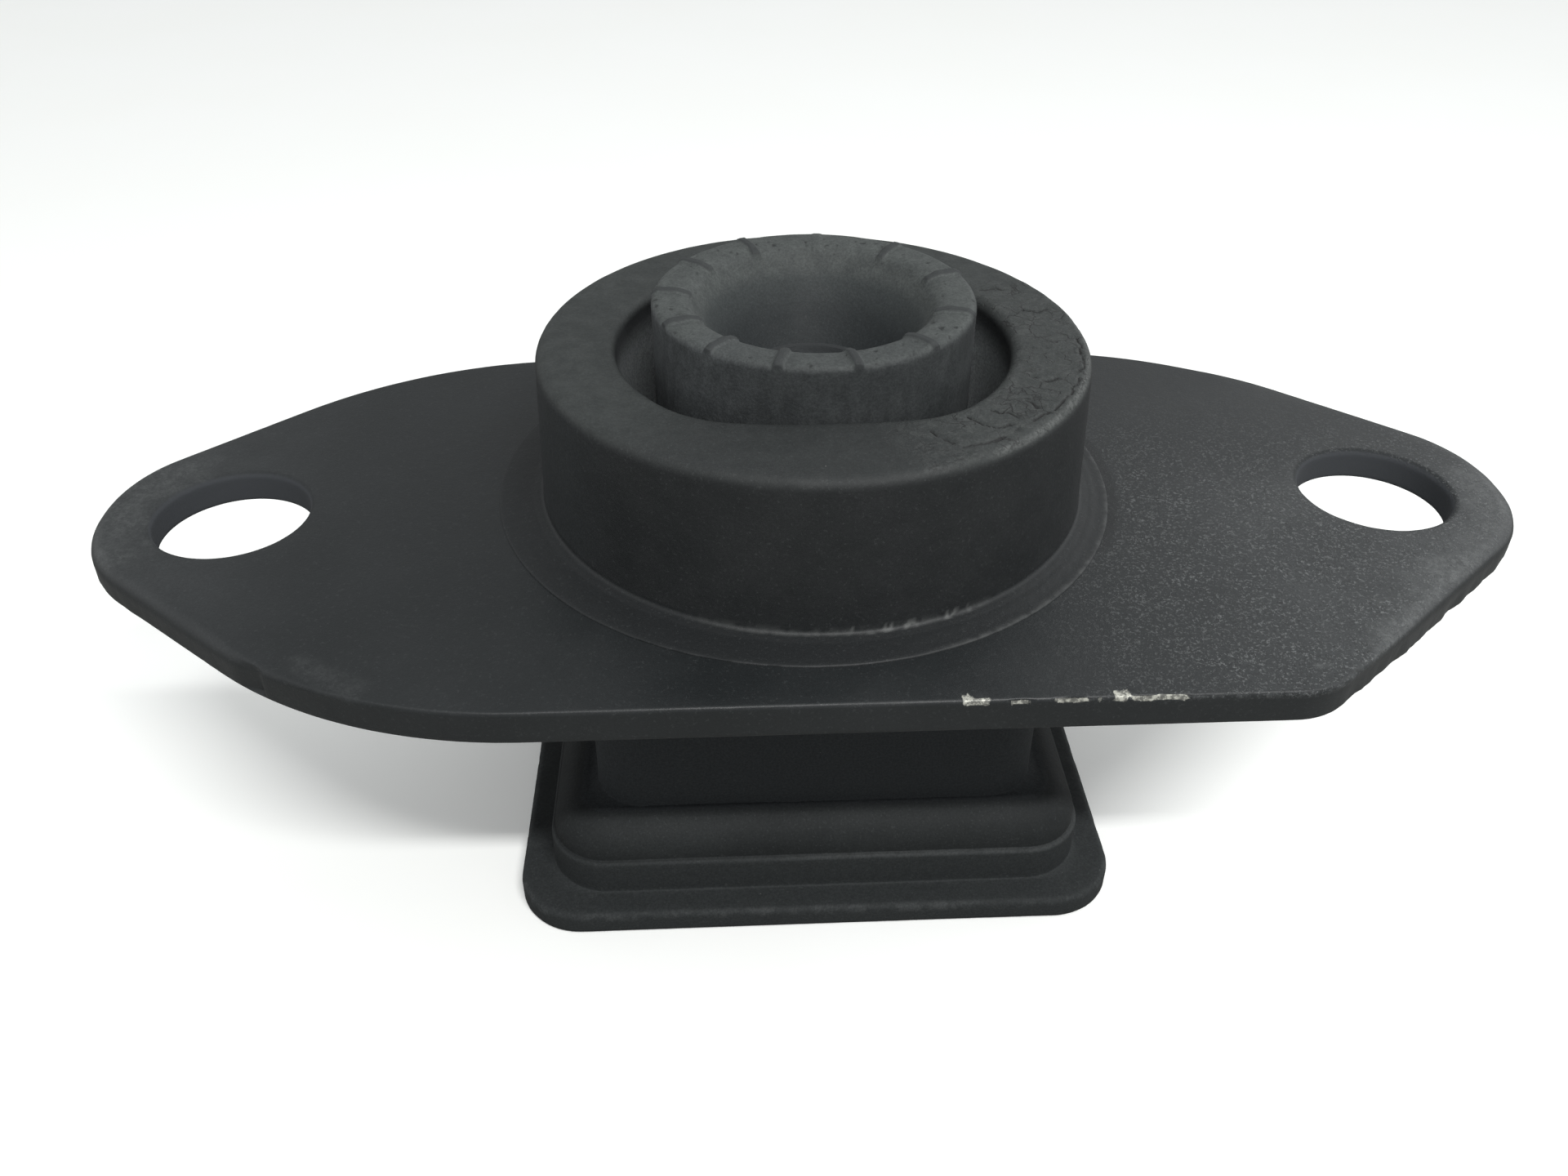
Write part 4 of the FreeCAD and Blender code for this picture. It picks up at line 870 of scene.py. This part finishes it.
def plate_looks():
    look = Looks("satin_coat_scuffed")
    coarse, chip, edge, pale, scuff, skirt_edge_dark_band, punched, mouth = look.masks(
        "coarse", "chip", "edge", "pale", "scuff", "skirt_edge_dark_band", "punched", "mouth")
    grain = look.noise(0.32, 4.0, 0.7)
    speckle = look.patches(0.36, 2.0, 0.8, 0.54, 0.61)
    dark = look.patches(0.4, 2.0, 0.8, 0.56, 0.61)
    specks = look.times(coarse, look.patches(4.0, 4.0, 0.55, 0.3, 0.65, 0.5, 1.0))
    cloud = look.noise(16.0, 4.0)
    rub = look.patches(1.8, 5.0, 0.7, 0.42, 0.66)
    scratched = look.patches(0.9, 5.0, 0.75, 0.36, 0.66)
    colour = look.painted(
        look.clouded(cloud, (0.0095, 0.0118, 0.0126), (0.0145, 0.017, 0.018)),
        # Pale coat: lighter on the right front, and round the left tip partly painted light from
        # the left.
        ((0.05, 0.054, 0.056), pale, look.patches(9.0, 5.0, 0.55, 0.2, 0.8, 0.2, 0.6)),
        ((0.155, 0.163, 0.163), specks, speckle, 0.8),
        ((0.006, 0.007, 0.0075), specks, dark, 0.85),
        ((0.13, 0.137, 0.14), look.curve(edge, 0.15, 0.9), rub, 0.45),
        ((0.11, 0.116, 0.115), scuff, look.curve(scratched, 0.0, 1.0, 0.25, 0.85)))
    ragged = look.sum(look.noise(0.8, 3.0, 0.7), 0.5, "SUBTRACT")
    bare = look.curve(look.sum(chip, look.times(ragged, 2.0)), 0.55, 0.85)
    metal = look.blend(look.patches(0.7, 3.0, 0.7, 0.42, 0.6),
                       (0.16, 0.16, 0.145), (0.52, 0.52, 0.46))
    colour = look.painted(look.grained(colour), ((0.005, 0.006, 0.0065), skirt_edge_dark_band, 0.7),
                          ((0.043, 0.047, 0.0525), punched), (metal, bare))
    roughness = look.curve(cloud, 0.2, 0.8, 0.42, 0.55)
    roughness = look.curve(mouth, 0.0, 1.0, roughness, 0.85)
    height = look.sum(look.times(grain, 0.35), look.times(speckle, coarse, 0.6))
    return look.finish(colour, roughness, [(look.noise(3.0, 3.0), 0.05), (height, 0.08)],
                       look.times(bare, 0.35))


def housing_looks():
    look = Looks("satin_coat_drawn")
    crease, joint, rim, shoulder, neck, low = look.masks(
        "crease", "joint", "rim", "shoulder", "neck", "low")
    cloud = look.noise(14.0, 4.0)
    grain = look.noise(0.35, 4.0, 0.7)
    streak = look.noise(1.1, 3.0, stretch=(1.0, 1.0, 0.12))
    colour = look.painted(
        look.clouded(cloud, (0.0155, 0.0175, 0.018), (0.0225, 0.0252, 0.0255)),
        ((0.026, 0.028, 0.029), look.curve(streak, 0.5, 0.8), 0.35),
        # Painted light on the neck.
        ((0.036, 0.04, 0.043), neck),
        # Painted light low on the housing.
        ((0.032, 0.0355, 0.0362), low, 0.8),
        # Painted highlight along the band's upper edge.
        ((0.08, 0.085, 0.085), crease, look.patches(2.6, 4.0, 0.7, 0.3, 0.6, 0.35, 1.0), 0.4),
        ((0.16, 0.165, 0.16), joint, look.patches(0.7, 3.0, 0.7, 0.6, 0.7), 0.6),
        ((0.09, 0.095, 0.095), rim, look.patches(2.6, 5.0, 0.75, 0.45, 0.65), 0.35),
        ((0.3, 0.31, 0.3), look.patches(1.4, 2.0, 0.8, 0.76, 0.80)))
    roughness = look.curve(look.sum(cloud, look.times(shoulder, 0.2)), 0.2, 0.9, 0.76, 0.7)
    bumps = [(look.noise(4.0, 3.0), 0.10), (streak, 0.04), (grain, 0.03)]
    return look.finish(look.grained(colour), roughness, bumps, specular=0.26)


def ring_looks():
    look = Looks("weathered_rubber")
    worn, crack, aged, bright, lip, inside, up, skirt, left = look.masks(
        "worn", "crack", "aged", "bright", "lip", "inside", "top_dust_and_front_shade", "skirt", "left")
    cloud = look.noise(9.0, 5.0, 0.6)
    grain = look.noise(0.45, 4.0, 0.75)
    dusty = look.blend(look.patches(2.4, 5.0, 0.7, 0.3, 0.7),
                       (0.029, 0.0335, 0.0325), (0.043, 0.048, 0.0465))
    patch = look.patches(1.3, 5.0, 0.75, 0.42, 0.62, distortion=0.6)
    colour = look.painted(
        look.clouded(cloud, (0.012, 0.0138, 0.0145), (0.018, 0.0198, 0.0205)),
        # Painted light on the left of the outer wall.
        ((0.03, 0.034, 0.0355), left, 0.7),
        # Painted light on the opening's inner wall.
        ((0.4, 0.425, 0.43), inside),
        # Dust on the upper face, cut back at the front as painted shade.
        (dusty, up),
        ((0.075, 0.08, 0.077), aged, patch, 0.4))
    fine = look.times(look.cracks(2.6, 0.16), aged, look.patches(5.0, 3.0, 0.55, 0.42, 0.58))
    dark = look.sum(look.times(look.curve(crack, 0.25, 0.8), 0.85), look.times(fine, 0.75))
    # The light flash at the wall's foot, with the painted highlight along the skirt's edge on the
    # right.
    light = look.sum(bright, look.times(lip, 0.3, look.patches(1.2, 4.0, 0.55, 0.3, 0.7)))
    colour = look.painted(
        look.grained(colour, 0.4),
        ((0.13, 0.136, 0.132), worn, 0.6, look.curve(grain, 0.35, 0.6)),
        (look.grained((0.0105, 0.0122, 0.013)), skirt),
        ((0.008, 0.008, 0.008), dark),
        ((0.17, 0.175, 0.17), light, 0.7),
        ((0.4, 0.41, 0.39), look.patches(1.1, 2.0, 0.8, 0.785, 0.81), up))
    height = look.sum(look.times(grain, 0.4), look.times(aged, patch, 0.5))
    height = look.sum(height, look.times(fine, 0.8), "SUBTRACT")
    roughness = look.curve(skirt, 0.0, 1.0, look.curve(cloud, 0.2, 0.8, 0.6, 0.75), 0.56)
    return look.finish(colour, roughness, [(look.noise(2.2, 4.0), 0.08), (height, 0.08)],
                       specular=0.42)


def hub_looks():
    look = Looks("greyed_rubber")
    rib, pit, top, depth, low, left = look.masks("rib", "pit", "top", "depth", "low", "left")
    cloud = look.noise(6.0, 5.0, 0.6)
    grain = look.noise(0.4, 4.0, 0.75)
    # The side's colour, with painted light on its left.
    side = look.painted(look.clouded(cloud, (0.04, 0.0445, 0.0455), (0.056, 0.061, 0.062)),
                        ((0.088, 0.095, 0.098), left, 0.8))
    upper = look.blend(look.patches(2.0, 5.0, 0.7, 0.3, 0.7),
                       (0.058, 0.0645, 0.063), (0.082, 0.0905, 0.087))
    blotch = look.patches(1.9, 5.0, 0.75, 0.38, 0.66, stretch=(1.0, 1.0, 0.6))
    # Painted shade: the funnel's lining darkens from its lip down to the throat.
    lining = look.blend(look.curve(depth, 0.1, 0.8),
                        (0.041, 0.0475, 0.0475), (0.0215, 0.0255, 0.027))
    colour = look.painted(
        side,
        (upper, top),
        ((0.018, 0.02, 0.021), look.curve(top, 0.0, 1.0, 1.0, 0.0), look.times(blotch, 0.45)),
        (lining, look.curve(depth, 0.0, 0.22)),
        # Painted light low on the hub, deep in the gap.
        ((0.17, 0.18, 0.185), low, 0.9))
    dark = look.times(look.patches(1.1, 4.0, 0.8, 0.6, 0.68), top,
                      look.curve(depth, 0.0, 0.1, 1.0, 0.0))
    dark = look.sum(look.times(dark, 0.7), look.times(pit, 0.9))
    colour = look.painted(
        look.grained(colour), ((0.028, 0.031, 0.032), look.curve(rib, 0.3, 0.8), 0.85),
        ((0.02, 0.022, 0.022), dark))
    return look.finish(colour, look.curve(cloud, 0.2, 0.8, 0.62, 0.78),
                       [(look.noise(2.0, 4.0), 0.06), (grain, 0.05)], specular=0.4)


def cast_looks():
    look = Looks("cast_aluminium")
    cloud = look.noise(5.0, 5.0)
    colour = look.blend(look.curve(cloud, 0.3, 0.7), (0.16, 0.165, 0.17), (0.34, 0.345, 0.35))
    # Darker, duller and less metallic towards the top, from 30 to 58 mm up, and darker still where
    # it faces up.
    split = look.add("ShaderNodeSeparateXYZ")
    look.put(split.inputs[0], look.place)
    upper_darkening = look.curve(split.outputs["Z"], 0.030, 0.058)
    dull = look.blend(look.facing_up(), (0.07, 0.075, 0.078), (0.045, 0.048, 0.05))
    colour = look.blend(upper_darkening, colour, dull)
    return look.finish(colour, look.curve(cloud, 0.2, 0.8, 0.45, 0.65),
                        [(look.noise(0.8, 4.0), 0.08)], look.curve(upper_darkening, 0.0, 1.0, 0.85, 0.1))


def sleeve_looks():
    look = Looks("plain_steel")
    turned = look.noise(0.5, 3.0, stretch=(0.05, 0.05, 1.0))
    colour = look.blend(turned, (0.3, 0.3, 0.31), (0.5, 0.5, 0.51))
    return look.finish(colour, look.curve(turned, 0.2, 0.8, 0.3, 0.45), [(turned, 0.02)],
                        metallic=1.0)


# Camera, lights and floor

def add_camera():
    """The camera looks down at the front of the mount from close by."""
    yaw, pitch, roll = (radians(a) for a in (CAMERA_YAW, CAMERA_PITCH, CAMERA_ROLL))
    forward = Vector((sin(yaw) * cos(pitch), cos(yaw) * cos(pitch),
                      -sin(pitch)))
    level = Vector((cos(yaw), -sin(yaw), 0.0))
    down = forward.cross(level)
    right = level * cos(roll) + down * sin(roll)
    image_down = down * cos(roll) - level * sin(roll)
    data = bpy.data.cameras.new("camera")
    data.sensor_width = SENSOR_WIDTH
    data.lens = FOCAL_PIXELS / IMAGE_WIDTH * SENSOR_WIDTH
    data.clip_start = 0.01
    camera = bpy.data.objects.new("camera", data)
    axes = Matrix((right, -image_down, -forward)).transposed().to_4x4()
    camera.matrix_world = Matrix.Translation(Vector(CAMERA_PLACE) * MM) @ axes
    bpy.context.scene.collection.objects.link(camera)
    bpy.context.scene.camera = camera


def add_light():
    """A long lamp above the front right, and a world with two soft glows."""
    data = bpy.data.lights.new("lamp", "AREA")
    data.shape = "RECTANGLE"
    data.size, data.size_y = LAMP_WIDTH, LAMP_DEPTH
    data.energy = LAMP_POWER
    lamp = bpy.data.objects.new("lamp", data)
    lamp.location = LAMP_PLACE
    lamp.rotation_euler = (radians(LAMP_TILT), 0.0, 0.0)
    bpy.context.scene.collection.objects.link(lamp)
    world = bpy.data.worlds.new("studio")
    world.use_nodes = True
    nodes, links = world.node_tree.nodes, world.node_tree.links
    background = nodes["Background"]
    background.inputs["Color"].default_value = (0.97, 0.99, 1.0, 1.0)
    around = nodes.new("ShaderNodeTexCoord").outputs["Generated"]
    strength = nodes.new("ShaderNodeMath")
    strength.operation = "ADD"
    for socket, (direction, edge, dim, bright) in zip(strength.inputs, GLOWS):
        toward = nodes.new("ShaderNodeVectorMath")
        toward.operation = "DOT_PRODUCT"
        toward.inputs[1].default_value = direction
        links.new(around, toward.inputs[0])
        glow = nodes.new("ShaderNodeMapRange")
        glow.interpolation_type = "SMOOTHSTEP"
        for index, number in enumerate((edge, 1.0, dim, bright), start=1):
            glow.inputs[index].default_value = number
        links.new(toward.outputs["Value"], glow.inputs[0])
        links.new(glow.outputs[0], socket)
    # To the camera itself, the world is as pale as the floor.
    seen = nodes.new("ShaderNodeMath")
    seen.operation = "MAXIMUM"
    links.new(strength.outputs[0], seen.inputs[0])
    links.new(nodes.new("ShaderNodeLightPath").outputs["Is Camera Ray"], seen.inputs[1])
    links.new(seen.outputs[0], background.inputs["Strength"])
    bpy.context.scene.world = world


def add_floor():
    """A pale floor, wide enough to fill the view, which throws little light back."""
    mesh = bpy.data.meshes.new("floor")
    corners = [(x * FLOOR_HALF, y * FLOOR_HALF, 0) for x, y in ((-1, -1), (1, -1), (1, 1), (-1, 1))]
    mesh.from_pydata(corners, [], [(0, 1, 2, 3)])
    floor = bpy.data.objects.new("floor", mesh)
    floor.location.z = -FLOOR_DROP
    bpy.context.scene.collection.objects.link(floor)
    look = Looks("paper")
    direct = look.add("ShaderNodeLightPath").outputs["Is Camera Ray"]
    cloud = look.patches(60.0, 3.0, 0.55, 0.2, 0.8)
    seen = look.blend(cloud, (0.975, 0.985, 0.955), (0.985, 0.995, 0.975))
    look.put(look.surface.inputs["Base Color"], look.blend(direct, (0.3, 0.3, 0.29), seen))
    look.put(look.surface.inputs["Emission Strength"], look.times(direct, 0.15))
    look.surface.inputs["Roughness"].default_value = 0.9
    look.surface.inputs["Specular IOR Level"].default_value = 0.1
    mesh.materials.append(look.material)


add_camera()
add_light()
add_floor()

# Each node's material, and the detailed piece that replaces the node.
for node, make_looks, add_detail in (
        ("mounting_plate", plate_looks, add_plate), ("lower_housing", housing_looks, add_housing),
        ("stop_ring_rubber", ring_looks, add_ring), ("main_spring_rubber", hub_looks, add_hub),
        ("stop_ring_sleeve", sleeve_looks, None), ("inner_core", cast_looks, None)):
    material = make_looks()
    node_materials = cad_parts[node].data.materials
    node_materials.clear()
    node_materials.append(material)
    if add_detail:
        add_detail(material)

bpy.context.scene.view_settings.view_transform = "Standard"
